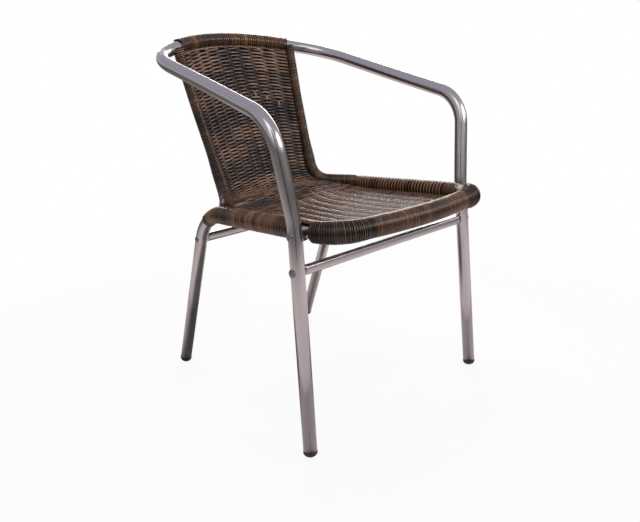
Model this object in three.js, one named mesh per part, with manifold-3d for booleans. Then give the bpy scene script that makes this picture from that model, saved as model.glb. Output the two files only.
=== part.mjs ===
// Stacking bistro armchair: two bent aluminium tube frames, two back rails,
// two stretchers, bolts, foot plugs and a woven seat and back with bound rims.
// Millimetres, Z up, floor at Z = 0. The sitter faces -Y, the sitter's left is +X.
// The chair is mirror symmetric about X = 0, so each path is given for +X.
import * as THREE from "three";
import { mergeVertices } from "three/addons/utils/BufferGeometryUtils.js";
import Module from "manifold-3d";

const wasm = await Module();
wasm.setup();

// Frame tube
const TUBE_RADIUS = 12.5;
const TUBE_WALL = 1.5;
const TUBE_SIDES = 14;
const BORE_SIDES = 8;
const BEND_STEP_DEGREES = 12;
const FEWEST_BEND_STEPS = 2;
const LONGEST_BEND_RUN = 30;
const BENT_RUN_SHARE = 0.97;

// Arm frame: front foot, knee at seat height, arm corner, arm, back corner, top
const FRONT_FOOT_X = 240;
const FRONT_FOOT_Y = -230;
const KNEE_X = 225;
const KNEE_Y = -208;
const KNEE_Z = 415;
const KNEE_RADIUS = 180;
const ARM_FRONT_X = 245;
const ARM_FRONT_Y = -192;
const ARM_FRONT_Z = 585;
const ARM_FRONT_RADIUS = 75;
const ARM_MIDDLE_X = 233;
const ARM_MIDDLE_Y = -4;
const ARM_MIDDLE_Z = 637;
const ARM_MIDDLE_RADIUS = 600;
const ARM_REAR_X = 226;
const ARM_REAR_Y = 187;
const ARM_REAR_Z = 690;
const ARM_REAR_RADIUS = 145;
const TOP_SHOULDER_X = 112.5;
const TOP_SHOULDER_Y = 264;
const TOP_SHOULDER_Z = 717;
const TOP_MIDDLE_Y = 289;
const TOP_MIDDLE_Z = 727;
const TOP_RADIUS = 250;

// Seat frame: rear foot, rear corner, side rail, front corner, front rail
const REAR_FOOT_X = 193;
const REAR_FOOT_Y = 279;
const SEAT_REAR_X = 193;
const SEAT_REAR_Y = 115;
const SEAT_REAR_Z = 388;
const SEAT_REAR_RADIUS = 105;
const SEAT_FRONT_X = 196.5;
const SEAT_FRONT_Y = -270;
const SEAT_FRONT_Z = 403;
const SEAT_FRONT_RADIUS = 62;
const FRONT_RAIL_MIDDLE_Y = -300;
const FRONT_RAIL_RADIUS = 700;

// Back rails: from before the top tube down, then forward and out onto the side rails
const BACK_RAIL_RADIUS = 8;
const BACK_RAIL_BORE = 6.8;
const BACK_RAIL_SIDES = 10;
const BACK_RAIL_BORE_SIDES = 6;
const BACK_TOP_X = 148;
const BACK_TOP_FORWARD = 12.6;
const BACK_TOP_DROP = 1.5;
const BACK_MIDDLE_SHARE = 0.631;
const BACK_BOW = 3.35;
const BACK_MIDDLE_RADIUS = 205;
const BACK_LOW_X = 122.7;
const BACK_LOW_Y = 138.8;
const BACK_LOW_Z = 403.5;
const BACK_LOW_RADIUS = 49;
const BACK_TAIL_X = 177.7;
const BACK_TAIL_Y = 59.6;
const BACK_TAIL_Z = 399.3;
const BACK_WRAP_END_X = 166;

// Stretchers: flat oval tubes between the legs
const FRONT_STRETCHER_Z = 338;
const REAR_STRETCHER_Z = 328;
const STRETCHER_HEIGHT = 18;
const STRETCHER_DEPTH = 12;
const STRETCHER_WALL = 1.5;
const STRETCHER_CORNER_STEPS = 5;
const INSERT_LENGTH = 22;

// Bolts, spacers and threaded inserts
const BOLT_RADIUS = 3;
const BOLT_HOLE_RADIUS = 3.4;
const FRONT_HEAD_RADIUS = 7.5;
const REAR_HEAD_RADIUS = 5.5;
const HEAD_HEIGHT = 3.6;
const HEAD_RIM = 1.1;
const HEAD_DOME_STEPS = 3;
const SOCKET_RADIUS = 2.3;
const SOCKET_DEPTH = 2;
const BOLT_SIDES = 12;
const HEX_SIDES = 6;
const SEAT_BOLT_DROP = 1.6;
const SPACER_RADIUS = 6.5;
const SEAT_INSERT_RADIUS = 4.6;
const SEAT_INSERT_LENGTH = 13;
const STRETCHER_BOLT_REACH = 36;

// Foot plugs
const PLUG_FLANGE = 2;
const PLUG_RADIUS = 13;
const PLUG_DROP = 9;
const PLUG_SHANK_LENGTH = 18;
const PLUG_SOLE_CUT = 0.8;
const PLUG_ARC_STEPS = 4;
const PLUG_SIDES = 14;

// Bindings
const GAP = 0.3;
const RIM_RADIUS = 18.5;
const REAR_RIM_RADIUS = 14.6;
const RIM_TAPER_RUN = 75;
const BACK_RIM_RADIUS = 11;
const RIM_SIDES = 12;
const LEG_BARE_HALF = 13;
const REAR_RIM_START_Z = 364;

// Weave: strands in rows over and under stakes, taken together in bands of rows
const ROW_PITCH = 3.9;
const ROWS_IN_BAND = 4;
const STRAND_FLAT = 1.9;
const STAKE_COUNT = 10;
const STAKE_THICKNESS = 1.6;
const BACK_SETBACK = 3;
const BACK_WEAVE_DROP = 10;
const BACK_LOW_BULGE_SHARE = 0.15;
const BACK_COVE_START_Z = 448;
const EDGE_SHARE = 0.6;
const COVE_RUN = 70;
const SEAT_LIFT = -8;
const SEAT_DIP = 9;

// Winding over the top tube
const TOP_WINDING_HALF = 145;
const TOP_WINDING_LOOPS = 24;
const WINDING_STEPS = 16;
const STRAND_WIDTH = 10;
const STRAND_THICKNESS = 2;
const STRAND_CROWN_SHARE = 0.35;
const WINDING_CLEARANCE = 0.55;

// Materials
const ALUMINIUM = { color: 0xb5b0b3, metalness: 1, roughness: 0.32 };
const STEEL = { color: 0x8f8d8e, metalness: 1, roughness: 0.4 };
const BLACK_PLASTIC = { color: 0x121212, metalness: 0, roughness: 0.55 };
const WICKER = { color: 0x46311f, metalness: 0, roughness: 0.5 };
const WICKER_DARK = { color: 0x2c1f16, metalness: 0, roughness: 0.5 };

// Corners of a mesh this close are one corner
const MERGE_DISTANCE = 1e-4;

const UP = new THREE.Vector3(0, 0, 1);
const LEFT = new THREE.Vector3(1, 0, 0);

function point(x, y, z) {
  return new THREE.Vector3(x, y, z);
}

function mirrored(path) {
  return path.map((p) => point(-p.x, p.y, p.z));
}

// Solids and meshes

function solidOf(geometry) {
  const plain = geometry.index ? geometry.toNonIndexed() : geometry.clone();
  plain.deleteAttribute("normal");
  plain.deleteAttribute("uv");
  const merged = mergeVertices(plain, MERGE_DISTANCE);
  const corners = merged.index.array;
  const kept = [];
  for (let i = 0; i < corners.length; i += 3) {
    const [a, b, c] = [corners[i], corners[i + 1], corners[i + 2]];
    if (a !== b && b !== c && c !== a) kept.push(a, b, c);
  }
  return new wasm.Manifold(
    new wasm.Mesh({
      numProp: 3,
      vertProperties: merged.attributes.position.array,
      triVerts: new Uint32Array(kept),
    }),
  );
}

// End faces of a convex ring, and of a ring made of two rows that face each other.
function fanCap(count) {
  const faces = [];
  for (let k = 1; k + 1 < count; k++) faces.push([0, k, k + 1]);
  return faces;
}

function stripCap(count) {
  const faces = [];
  for (let k = 0; k + 1 < count / 2; k++) {
    const [a, b] = [k, k + 1];
    const [c, d] = [count - 1 - k, count - 2 - k];
    faces.push([a, b, d], [a, d, c]);
  }
  return faces;
}

// A closed solid through rings of points that turn about the way they follow.
// Where crossed says so, a side's two faces meet along its other diagonal.
function solidOfRings(rings, cap, crossed = () => false) {
  const count = rings[0].length;
  const last = (rings.length - 1) * count;
  const faces = [];
  for (let r = 0; r + 1 < rings.length; r++) {
    for (let k = 0; k < count; k++) {
      const a = r * count + k;
      const b = r * count + ((k + 1) % count);
      if (crossed(r, k)) faces.push(a, b, a + count, b, b + count, a + count);
      else faces.push(a, b, b + count, a, b + count, a + count);
    }
  }
  for (const [a, b, c] of cap(count)) {
    faces.push(c, b, a);
    faces.push(last + a, last + b, last + c);
  }
  const places = rings.flat().flatMap((p) => [p.x, p.y, p.z]);
  return new wasm.Manifold(
    new wasm.Mesh({
      numProp: 3,
      vertProperties: new Float32Array(places),
      triVerts: new Uint32Array(faces),
    }),
  );
}

function meshOf(name, solid, look) {
  const made = solid.getMesh();
  const geometry = new THREE.BufferGeometry();
  const places = new THREE.BufferAttribute(new Float32Array(made.vertProperties), made.numProp);
  geometry.setAttribute("position", places);
  geometry.setIndex(new THREE.BufferAttribute(new Uint32Array(made.triVerts), 1));
  geometry.computeVertexNormals();
  const mesh = new THREE.Mesh(geometry, new THREE.MeshStandardMaterial(look));
  mesh.name = name;
  return mesh;
}

// Paths

function turnAt(corners, i) {
  const before = corners[i].clone().sub(corners[i - 1]);
  return before.angleTo(corners[i + 1].clone().sub(corners[i]));
}

// How far each bend reaches along its runs: less than its radius asks where a run is short.
function bendReaches(corners, radii) {
  const wanted = radii.map((radius, k) => radius * Math.tan(turnAt(corners, k + 1) / 2));
  const ends = [0, ...wanted, 0];
  const room = corners.slice(1).map((corner, k) => {
    const run = corner.distanceTo(corners[k]) * BENT_RUN_SHARE;
    return Math.min(1, run / (ends[k] + ends[k + 1]));
  });
  return wanted.map((reach, k) => reach * Math.min(room[k], room[k + 1]));
}

// Straight runs through the corners, each corner rounded.
function bentPath(corners, radii) {
  const path = [corners[0]];
  const reaches = bendReaches(corners, radii);
  for (let i = 1; i + 1 < corners.length; i++) {
    const back = corners[i - 1].clone().sub(corners[i]).normalize();
    const ahead = corners[i + 1].clone().sub(corners[i]).normalize();
    const turn = turnAt(corners, i);
    const radius = reaches[i - 1] / Math.tan(turn / 2);
    const start = corners[i].clone().addScaledVector(back, reaches[i - 1]);
    const toCentre = back.clone().add(ahead).normalize();
    const centre = corners[i].clone().addScaledVector(toCentre, radius / Math.cos(turn / 2));
    const axis = ahead.clone().cross(back).normalize();
    const spoke = start.clone().sub(centre);
    const byTurn = Math.round(THREE.MathUtils.radToDeg(turn) / BEND_STEP_DEGREES);
    const byRun = Math.round((turn * radius) / LONGEST_BEND_RUN);
    const steps = Math.max(FEWEST_BEND_STEPS, byTurn, byRun);
    for (let k = 0; k <= steps; k++) {
      const spun = spoke.clone().applyAxisAngle(axis, (turn * k) / steps);
      path.push(centre.clone().add(spun));
    }
  }
  path.push(corners[corners.length - 1]);
  return path;
}

function lengthsAlong(path) {
  const sums = [0];
  for (let i = 1; i < path.length; i++) {
    sums.push(sums[i - 1] + path[i].distanceTo(path[i - 1]));
  }
  return sums;
}

function placeAt(path, length) {
  const sums = lengthsAlong(path);
  let i = 1;
  while (i < path.length - 1 && sums[i] < length) i++;
  const share = (length - sums[i - 1]) / (sums[i] - sums[i - 1]);
  return path[i - 1].clone().lerp(path[i], share);
}

// The length along a path at which one coordinate first passes a value.
function lengthWhere(path, axis, value, after) {
  const sums = lengthsAlong(path);
  for (let i = 1; i < path.length; i++) {
    const from = path[i - 1][axis];
    const to = path[i][axis];
    if (sums[i] <= after || (from - value) * (to - value) > 0 || from === to) continue;
    return sums[i - 1] + ((value - from) / (to - from)) * (sums[i] - sums[i - 1]);
  }
  throw new Error("the path never reaches that place");
}

function slicePath(path, from, to) {
  const sums = lengthsAlong(path);
  const closest = GAP;
  const inner = path.filter((p, i) => sums[i] > from + closest && sums[i] < to - closest);
  return [placeAt(path, from), ...inner, placeAt(path, to)];
}

function extended(path, amount) {
  const first = path[0].clone().sub(path[1]).setLength(amount).add(path[0]);
  const [before, end] = path.slice(-2);
  const last = end.clone().sub(before).setLength(amount).add(end);
  return [first, ...path, last];
}

// Directions along a path, with one side direction carried along without twist.
function framesAlong(path) {
  const frames = [];
  let side = null;
  path.forEach((p, i) => {
    const before = path[Math.max(i - 1, 0)];
    const next = path[Math.min(i + 1, path.length - 1)];
    const into = p.clone().sub(before).normalize();
    const out = next.clone().sub(p).normalize();
    const along = into.add(out).normalize();
    if (side === null) {
      const start = Math.abs(along.x) < Math.SQRT1_2 ? LEFT : UP;
      side = start.clone();
    }
    side = side.clone().addScaledVector(along, -side.dot(along)).normalize();
    frames.push({ centre: p, along, side, other: along.clone().cross(side) });
  });
  return frames;
}

// A round bar with its own radius at each place of the path.
function taperedRod(path, radii, sides) {
  const rings = framesAlong(path).map(({ centre, side, other }, i) => {
    const ring = [];
    for (let k = 0; k < sides; k++) {
      const turn = (2 * Math.PI * (k + 1 / 2)) / sides;
      const p = centre.clone().addScaledVector(side, radii[i] * Math.cos(turn));
      ring.push(p.addScaledVector(other, radii[i] * Math.sin(turn)));
    }
    return ring;
  });
  return solidOfRings(rings, fanCap);
}

function rod(path, radius, sides) {
  return taperedRod(path, path.map(() => radius), sides);
}

function pipe(path, outer, inner, outerSides, innerSides) {
  const bore = rod(extended(path, outer), inner, innerSides);
  return rod(path, outer, outerSides).subtract(bore);
}

// Frames

const armHalf = [
  point(FRONT_FOOT_X, FRONT_FOOT_Y, 0),
  point(KNEE_X, KNEE_Y, KNEE_Z),
  point(ARM_FRONT_X, ARM_FRONT_Y, ARM_FRONT_Z),
  point(ARM_MIDDLE_X, ARM_MIDDLE_Y, ARM_MIDDLE_Z),
  point(ARM_REAR_X, ARM_REAR_Y, ARM_REAR_Z),
  point(TOP_SHOULDER_X, TOP_SHOULDER_Y, TOP_SHOULDER_Z),
];
const armHalfRadii = [
  KNEE_RADIUS,
  ARM_FRONT_RADIUS,
  ARM_MIDDLE_RADIUS,
  ARM_REAR_RADIUS,
  TOP_RADIUS,
];
const seatHalf = [
  point(REAR_FOOT_X, REAR_FOOT_Y, 0),
  point(SEAT_REAR_X, SEAT_REAR_Y, SEAT_REAR_Z),
  point(SEAT_FRONT_X, SEAT_FRONT_Y, SEAT_FRONT_Z),
];
const seatHalfRadii = [SEAT_REAR_RADIUS, SEAT_FRONT_RADIUS];

// The half set of corners, the middle corner, and the half set mirrored back.
function wholePath(half, radii, middle, middleRadius) {
  const corners = [...half, middle, ...mirrored(half).reverse()];
  return bentPath(corners, [...radii, middleRadius, ...radii.slice().reverse()]);
}

// Height of a leaning leg's tube end, so that its plug's cut sole lies on the floor.
function tubeEndHeight(foot, next) {
  const lean = next.clone().sub(foot).angleTo(UP);
  const wide = PLUG_RADIUS * Math.sin(lean);
  const deep = PLUG_DROP * Math.cos(lean);
  return Math.hypot(wide, deep) + PLUG_FLANGE * Math.cos(lean) - PLUG_SOLE_CUT;
}

function raisedFoot(half) {
  const height = tubeEndHeight(half[0], half[1]);
  const foot = half[0].clone().lerp(half[1], height / half[1].z);
  return [foot, ...half.slice(1)];
}

const armCorners = raisedFoot(armHalf);
const seatCorners = raisedFoot(seatHalf);
const topMiddle = point(0, TOP_MIDDLE_Y, TOP_MIDDLE_Z);
const frontMiddle = point(0, FRONT_RAIL_MIDDLE_Y, SEAT_FRONT_Z);
const armPath = wholePath(armCorners, armHalfRadii, topMiddle, TOP_RADIUS);
const seatPath = wholePath(seatCorners, seatHalfRadii, frontMiddle, FRONT_RAIL_RADIUS);

const armLength = lengthsAlong(armPath).at(-1);
const topStart = lengthWhere(armPath, "y", ARM_REAR_Y, 0);

// The place on the top tube's path at a given x.
function topTubeAt(x) {
  if (x === 0) return placeAt(armPath, armLength / 2);
  return placeAt(armPath, lengthWhere(armPath, "x", x, topStart));
}

const backTop = topTubeAt(BACK_TOP_X).sub(point(0, BACK_TOP_FORWARD, BACK_TOP_DROP));
const backLow = point(BACK_LOW_X, BACK_LOW_Y, BACK_LOW_Z);
const backMiddle = backLow.clone().lerp(backTop, BACK_MIDDLE_SHARE).add(point(0, BACK_BOW, 0));
const backTail = point(BACK_TAIL_X, BACK_TAIL_Y, BACK_TAIL_Z);
const backPath = bentPath(
  [backTop, backMiddle, backLow, backTail],
  [BACK_MIDDLE_RADIUS, BACK_LOW_RADIUS],
);

const armClearance = rod(armPath, TUBE_RADIUS + GAP, TUBE_SIDES);
const seatClearance = rod(seatPath, TUBE_RADIUS + GAP, TUBE_SIDES);
const backClearance = rod(backPath, BACK_RAIL_RADIUS + GAP, BACK_RAIL_SIDES);

// Bolts lie along X, so each is placed by where its axis crosses the leg.
const frontLegLow = placeAt(armPath, lengthWhere(armPath, "z", FRONT_STRETCHER_Z, 0));
const rearLegLow = placeAt(seatPath, lengthWhere(seatPath, "z", REAR_STRETCHER_Z, 0));
const legBesideSeat = placeAt(armPath, lengthWhere(armPath, "z", SEAT_FRONT_Z, 0));
const railAtLegLength = lengthWhere(seatPath, "y", legBesideSeat.y, 0);
const railAtLeg = placeAt(seatPath, railAtLegLength);
const seatBoltZ = railAtLeg.z - SEAT_BOLT_DROP;
const frontLegSeat = placeAt(armPath, lengthWhere(armPath, "z", seatBoltZ, 0));

// A cylinder along X from one x to another, through a given y and z.
function crossRod(fromX, toX, place, radius, sides) {
  const shape = new THREE.CylinderGeometry(radius, radius, toX - fromX, sides);
  shape.rotateZ(Math.PI / 2);
  shape.translate((fromX + toX) / 2, place.y, place.z);
  return solidOf(shape);
}

function boltHole(place, fromX, toX) {
  return crossRod(fromX, toX, place, BOLT_HOLE_RADIUS, BOLT_SIDES);
}

function bothSides(solid) {
  return [solid, solid.mirror([1, 0, 0])];
}

function cutBoth(body, tool) {
  return bothSides(tool).reduce((cut, side) => cut.subtract(side), body);
}

function armFrame() {
  let body = pipe(armPath, TUBE_RADIUS, TUBE_RADIUS - TUBE_WALL, TUBE_SIDES, BORE_SIDES);
  for (const place of [frontLegSeat, frontLegLow]) {
    const hole = boltHole(place, place.x - 2 * TUBE_RADIUS, place.x + 2 * TUBE_RADIUS);
    body = cutBoth(body, hole);
  }
  return body;
}

function seatFrame() {
  const body = pipe(seatPath, TUBE_RADIUS, TUBE_RADIUS - TUBE_WALL, TUBE_SIDES, BORE_SIDES);
  const outside = rearLegLow.x + 2 * TUBE_RADIUS;
  const legHole = boltHole(rearLegLow, rearLegLow.x - 2 * TUBE_RADIUS, outside);
  const wall = railAtLeg.x + 2 * TUBE_RADIUS;
  const room = SEAT_INSERT_RADIUS + GAP;
  const insertHole = crossRod(railAtLeg.x, wall, frontLegSeat, room, BOLT_SIDES);
  return cutBoth(cutBoth(body, legHole), insertHole);
}

function backRail() {
  const body = pipe(
    backPath,
    BACK_RAIL_RADIUS,
    BACK_RAIL_BORE,
    BACK_RAIL_SIDES,
    BACK_RAIL_BORE_SIDES,
  );
  return largest(body.subtract(armClearance).subtract(seatClearance));
}

// The largest body that a cut leaves.
function largest(solid) {
  const bodies = solid.decompose();
  return bodies.reduce((best, body) => (body.volume() > best.volume() ? body : best));
}

// Stretchers

function ovalOutline(height, depth) {
  const outline = [];
  const radius = depth / 2;
  const straight = height / 2 - radius;
  for (const end of [1, -1]) {
    for (let k = 0; k <= STRETCHER_CORNER_STEPS; k++) {
      const turn = (Math.PI * k) / STRETCHER_CORNER_STEPS;
      const across = end * radius * Math.cos(turn);
      outline.push(new THREE.Vector2(across, end * (straight + radius * Math.sin(turn))));
    }
  }
  return outline;
}

// An oval bar along X between two x values.
function ovalBar(height, depth, fromX, toX, place) {
  const shape = new THREE.Shape(ovalOutline(height, depth));
  const settings = { depth: toX - fromX, bevelEnabled: false, steps: 1 };
  const bar = new THREE.ExtrudeGeometry(shape, settings);
  bar.rotateX(Math.PI / 2);
  bar.rotateZ(Math.PI / 2);
  bar.translate(fromX, place.y, place.z);
  return solidOf(bar);
}

const boreHeight = STRETCHER_HEIGHT - 2 * STRETCHER_WALL;
const boreDepth = STRETCHER_DEPTH - 2 * STRETCHER_WALL;

function stretcher(place, legClearance) {
  const outer = ovalBar(STRETCHER_HEIGHT, STRETCHER_DEPTH, -place.x, place.x, place);
  const reach = place.x + TUBE_RADIUS;
  const bore = ovalBar(boreHeight, boreDepth, -reach, reach, place);
  return largest(outer.subtract(bore).subtract(legClearance));
}

function stretcherInsert(place, legClearance) {
  const fromX = place.x - TUBE_RADIUS - INSERT_LENGTH;
  const body = ovalBar(boreHeight - 2 * GAP, boreDepth - 2 * GAP, fromX, place.x, place);
  const thread = boltHole(place, fromX - GAP, place.x + GAP);
  return largest(body.subtract(legClearance).subtract(thread));
}

// Fasteners

// A button head with a hexagon socket, revolved, with its shank as one solid.
function bolt(place, headRadius, reach) {
  const under = place.x + TUBE_RADIUS + GAP;
  const length = TUBE_RADIUS + GAP + reach;
  const profile = [
    new THREE.Vector2(0, -length),
    new THREE.Vector2(BOLT_RADIUS, -length),
    new THREE.Vector2(BOLT_RADIUS, 0),
    new THREE.Vector2(headRadius, 0),
    new THREE.Vector2(headRadius, HEAD_RIM),
  ];
  for (let k = 1; k <= HEAD_DOME_STEPS; k++) {
    const turn = (Math.PI * k) / (2 * HEAD_DOME_STEPS);
    const rise = HEAD_RIM + (HEAD_HEIGHT - HEAD_RIM) * Math.sin(turn);
    profile.push(new THREE.Vector2(k === HEAD_DOME_STEPS ? 0 : headRadius * Math.cos(turn), rise));
  }
  const turned = new THREE.LatheGeometry(profile, BOLT_SIDES);
  const socket = new THREE.CylinderGeometry(SOCKET_RADIUS, SOCKET_RADIUS, HEAD_HEIGHT, HEX_SIDES);
  socket.translate(0, HEAD_HEIGHT - SOCKET_DEPTH + HEAD_HEIGHT / 2, 0);
  for (const shape of [turned, socket]) {
    shape.rotateZ(-Math.PI / 2);
    shape.translate(under, place.y, place.z);
  }
  return solidOf(turned).subtract(solidOf(socket));
}

function seatSpacer() {
  const body = crossRod(railAtLeg.x, frontLegSeat.x, frontLegSeat, SPACER_RADIUS, BOLT_SIDES);
  const hole = boltHole(frontLegSeat, railAtLeg.x - GAP, frontLegSeat.x + GAP);
  return largest(body.subtract(armClearance).subtract(seatClearance).subtract(hole));
}

function seatInsert() {
  const mouth = railAtLeg.x + TUBE_RADIUS - TUBE_WALL - GAP;
  const end = mouth - SEAT_INSERT_LENGTH;
  const body = crossRod(end, mouth, frontLegSeat, SEAT_INSERT_RADIUS, BOLT_SIDES);
  return body.subtract(boltHole(frontLegSeat, end - GAP, mouth + GAP));
}

// Foot plugs

function footPlug(corners) {
  const boreInside = (TUBE_RADIUS - TUBE_WALL) * Math.cos(Math.PI / BORE_SIDES);
  const shank = boreInside - GAP;
  const profile = [
    new THREE.Vector2(0, PLUG_SHANK_LENGTH),
    new THREE.Vector2(shank, PLUG_SHANK_LENGTH),
    new THREE.Vector2(shank, -GAP),
    new THREE.Vector2(PLUG_RADIUS, -GAP),
    new THREE.Vector2(PLUG_RADIUS, -PLUG_FLANGE),
  ];
  for (let k = 1; k <= PLUG_ARC_STEPS; k++) {
    const turn = (Math.PI * k) / (2 * PLUG_ARC_STEPS);
    const drop = -PLUG_FLANGE - PLUG_DROP * Math.sin(turn);
    profile.push(new THREE.Vector2(k === PLUG_ARC_STEPS ? 0 : PLUG_RADIUS * Math.cos(turn), drop));
  }
  const turned = new THREE.LatheGeometry(profile.reverse(), PLUG_SIDES);
  const along = corners[1].clone().sub(corners[0]).normalize();
  const stand = new THREE.Quaternion().setFromUnitVectors(point(0, 1, 0), along);
  turned.applyQuaternion(stand);
  turned.translate(corners[0].x, corners[0].y, corners[0].z);
  const side = 4 * PLUG_RADIUS;
  const floor = new THREE.BoxGeometry(side, side, side);
  floor.translate(corners[0].x, corners[0].y, -side / 2);
  return solidOf(turned).subtract(solidOf(floor));
}

// Bound rims: sleeves of weave round the rails

const seatLength = lengthsAlong(seatPath).at(-1);

// Slim at its rear end, where one layer of strand covers the tube, and full from there on.
function sideRim() {
  const to = railAtLegLength - LEG_BARE_HALF;
  const path = slicePath(seatPath, lengthWhere(seatPath, "z", REAR_RIM_START_Z, 0), to);
  const radii = lengthsAlong(path).map((length) => {
    const share = THREE.MathUtils.smoothstep(length, 0, RIM_TAPER_RUN);
    return THREE.MathUtils.lerp(REAR_RIM_RADIUS, RIM_RADIUS, share);
  });
  const bore = rod(extended(path, RIM_RADIUS), rimBore + GAP, RIM_SIDES);
  const body = taperedRod(path, radii, RIM_SIDES).subtract(bore).subtract(backClearance);
  return largest(body.subtract(armClearance));
}

function frontRim() {
  const from = railAtLegLength + LEG_BARE_HALF;
  const path = slicePath(seatPath, from, seatLength - from);
  const body = pipe(path, RIM_RADIUS, rimBore + GAP, RIM_SIDES, RIM_SIDES);
  return cutBoth(body, armClearance);
}

const seatRoom = rod(seatPath, RIM_RADIUS + GAP, RIM_SIDES);
const coveStart = lengthWhere(backPath, "z", BACK_COVE_START_Z, 0);
const coveEnd = lengthWhere(backPath, "x", BACK_WRAP_END_X, coveStart);

// A polygonal sleeve clears the tube inside it by this bore.
const rimBore = TUBE_RADIUS / Math.cos(Math.PI / RIM_SIDES);
const backRimBore = BACK_RAIL_RADIUS / Math.cos(Math.PI / BACK_RAIL_SIDES);

function backRim() {
  const path = slicePath(backPath, 0, coveEnd);
  const bore = rod(extended(path, BACK_RIM_RADIUS), backRimBore + GAP, BACK_RAIL_SIDES);
  const body = rod(path, BACK_RIM_RADIUS, BACK_RAIL_SIDES).subtract(bore);
  return largest(body.subtract(armClearance).subtract(seatRoom));
}

const windingReach = TUBE_RADIUS + WINDING_CLEARANCE + STRAND_THICKNESS + GAP;

// Room for the rails, their bindings and the top winding, which the sheets stop at.
const surroundings = [
  seatRoom,
  rod(armPath, windingReach / Math.cos(Math.PI / TUBE_SIDES), TUBE_SIDES),
  ...bothSides(rod(backPath, BACK_RIM_RADIUS + GAP, BACK_RAIL_SIDES)),
];

function cutBySurroundings(body) {
  return largest(surroundings.reduce((cut, room) => cut.subtract(room), body));
}

// Woven sheets: a row of points across the chair for each band, one on each stake and edge

const bandHeight = ROW_PITCH * ROWS_IN_BAND;
const stakes = Array.from({ length: STAKE_COUNT }, (_, k) => (2 * k + 1) / STAKE_COUNT - 1);
const columns = [-1, ...stakes, 1];

// A face stands out where its band passes over a stake, and lies low where it passes behind.
function faceHeight(turn, column) {
  const bare = STAKE_THICKNESS / 2;
  if (column === 0 || column === STAKE_COUNT + 1) return bare + STRAND_FLAT / 2;
  return turn % 2 === 0 ? bare + STRAND_FLAT : bare;
}

function sheet(rows) {
  const rings = rows.map((row, i) => {
    const before = rows[Math.max(i - 1, 0)];
    const next = rows[Math.min(i + 1, rows.length - 1)];
    const under = row.map((p, k) => {
      const across = row[Math.min(k + 1, row.length - 1)].clone().sub(row[Math.max(k - 1, 0)]);
      return across.cross(next[k].clone().sub(before[k])).normalize();
    });
    const lower = row.map((p, k) => p.clone().addScaledVector(under[k], faceHeight(i + k + 1, k)));
    const upper = row.map((p, k) => p.clone().addScaledVector(under[k], -faceHeight(i + k, k)));
    return [...lower, ...upper.reverse()];
  });
  return solidOfRings(rings, stripCap, (r, k) => (r + k) % 2 === 1);
}

// How far the top tube stands behind and above its place at the back rails.
function topBulge(share) {
  return topTubeAt(Math.abs(share) * BACK_TOP_X).sub(topTubeAt(BACK_TOP_X));
}

// A row between mirrored edge places, bulged like the top tube by a share.
function weaveRow(edge, bulgeShare, shift) {
  return columns.map((share) => {
    const bulge = topBulge(share).multiplyScalar(bulgeShare);
    const middle = 1 - share * share;
    const y = edge.y + bulge.y + shift.y * middle;
    return point(share * edge.x, y, edge.z + bulge.z + shift.z * middle);
  });
}

// The sheet's edge beside the back rail, inside the rail's binding.
function backEdge(length) {
  const edge = placeAt(backPath, length);
  const below = placeAt(backPath, length + GAP).sub(edge);
  edge.addScaledVector(LEFT.clone().cross(below).normalize(), BACK_SETBACK);
  edge.x -= BACK_RIM_RADIUS * EDGE_SHARE;
  return edge;
}

function bulgeShareAt(length) {
  return 1 - (length / coveEnd) * (1 - BACK_LOW_BULGE_SHARE);
}

// Lengths for whole bands from one length to another.
function bandLengths(from, to) {
  const count = Math.round((to - from) / bandHeight);
  return Array.from({ length: count + 1 }, (_, i) => from + ((to - from) * i) / count);
}

function backRows() {
  const top = lengthWhere(backPath, "z", backTop.z - BACK_WEAVE_DROP, 0);
  const still = point(0, 0, 0);
  const lengths = bandLengths(top, coveEnd).slice(0, -1);
  return lengths.map((length) => weaveRow(backEdge(length), bulgeShareAt(length), still));
}

// The sheet's edge beside the seat frame, inside the frame's binding.
function seatEdge(length) {
  const edge = placeAt(seatPath, length);
  const ahead = placeAt(seatPath, length + GAP).sub(edge).normalize();
  const inset = RIM_RADIUS * EDGE_SHARE;
  return point(edge.x + ahead.y * inset, edge.y - ahead.x * inset, edge.z + SEAT_LIFT);
}

function seatRows() {
  const first = backEdge(coveEnd);
  const from = lengthWhere(seatPath, "y", first.y, 0);
  const corner = lengthWhere(seatPath, "y", SEAT_FRONT_Y + SEAT_FRONT_RADIUS, from);
  const front = lengthWhere(seatPath, "x", SEAT_FRONT_X - SEAT_FRONT_RADIUS, corner);
  const bow = FRONT_RAIL_MIDDLE_Y - seatEdge(front).y + RIM_RADIUS * EDGE_SHARE;
  return bandLengths(from, front).map((length) => {
    const settled = THREE.MathUtils.smoothstep(length, from, from + COVE_RUN);
    const edge = first.clone().lerp(seatEdge(length), settled);
    const turned = Math.max(0, (length - corner) / (front - corner));
    const dip = SEAT_DIP * Math.sin((Math.PI * (length - from)) / (front - from));
    const shift = point(0, bow * turned, -dip);
    return weaveRow(edge, bulgeShareAt(coveEnd) * (1 - settled), shift);
  });
}

// The sheet runs on from back to seat, and is parted square to itself in the cove.
function wovenSheets() {
  const whole = sheet([...backRows(), ...seatRows()]);
  const place = backEdge(coveEnd);
  const onward = place.clone().sub(backEdge(coveEnd - GAP)).setX(0).normalize();
  const parting = onward.dot(place);
  const seat = whole.trimByPlane(onward.toArray(), parting + GAP / 2);
  const back = whole.trimByPlane(onward.negate().toArray(), GAP / 2 - parting);
  return { back: cutBySurroundings(back), seat: cutBySurroundings(seat) };
}

// Winding

const topFrom = lengthWhere(armPath, "x", TOP_WINDING_HALF, topStart);
const topTo = armLength - topFrom;

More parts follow.
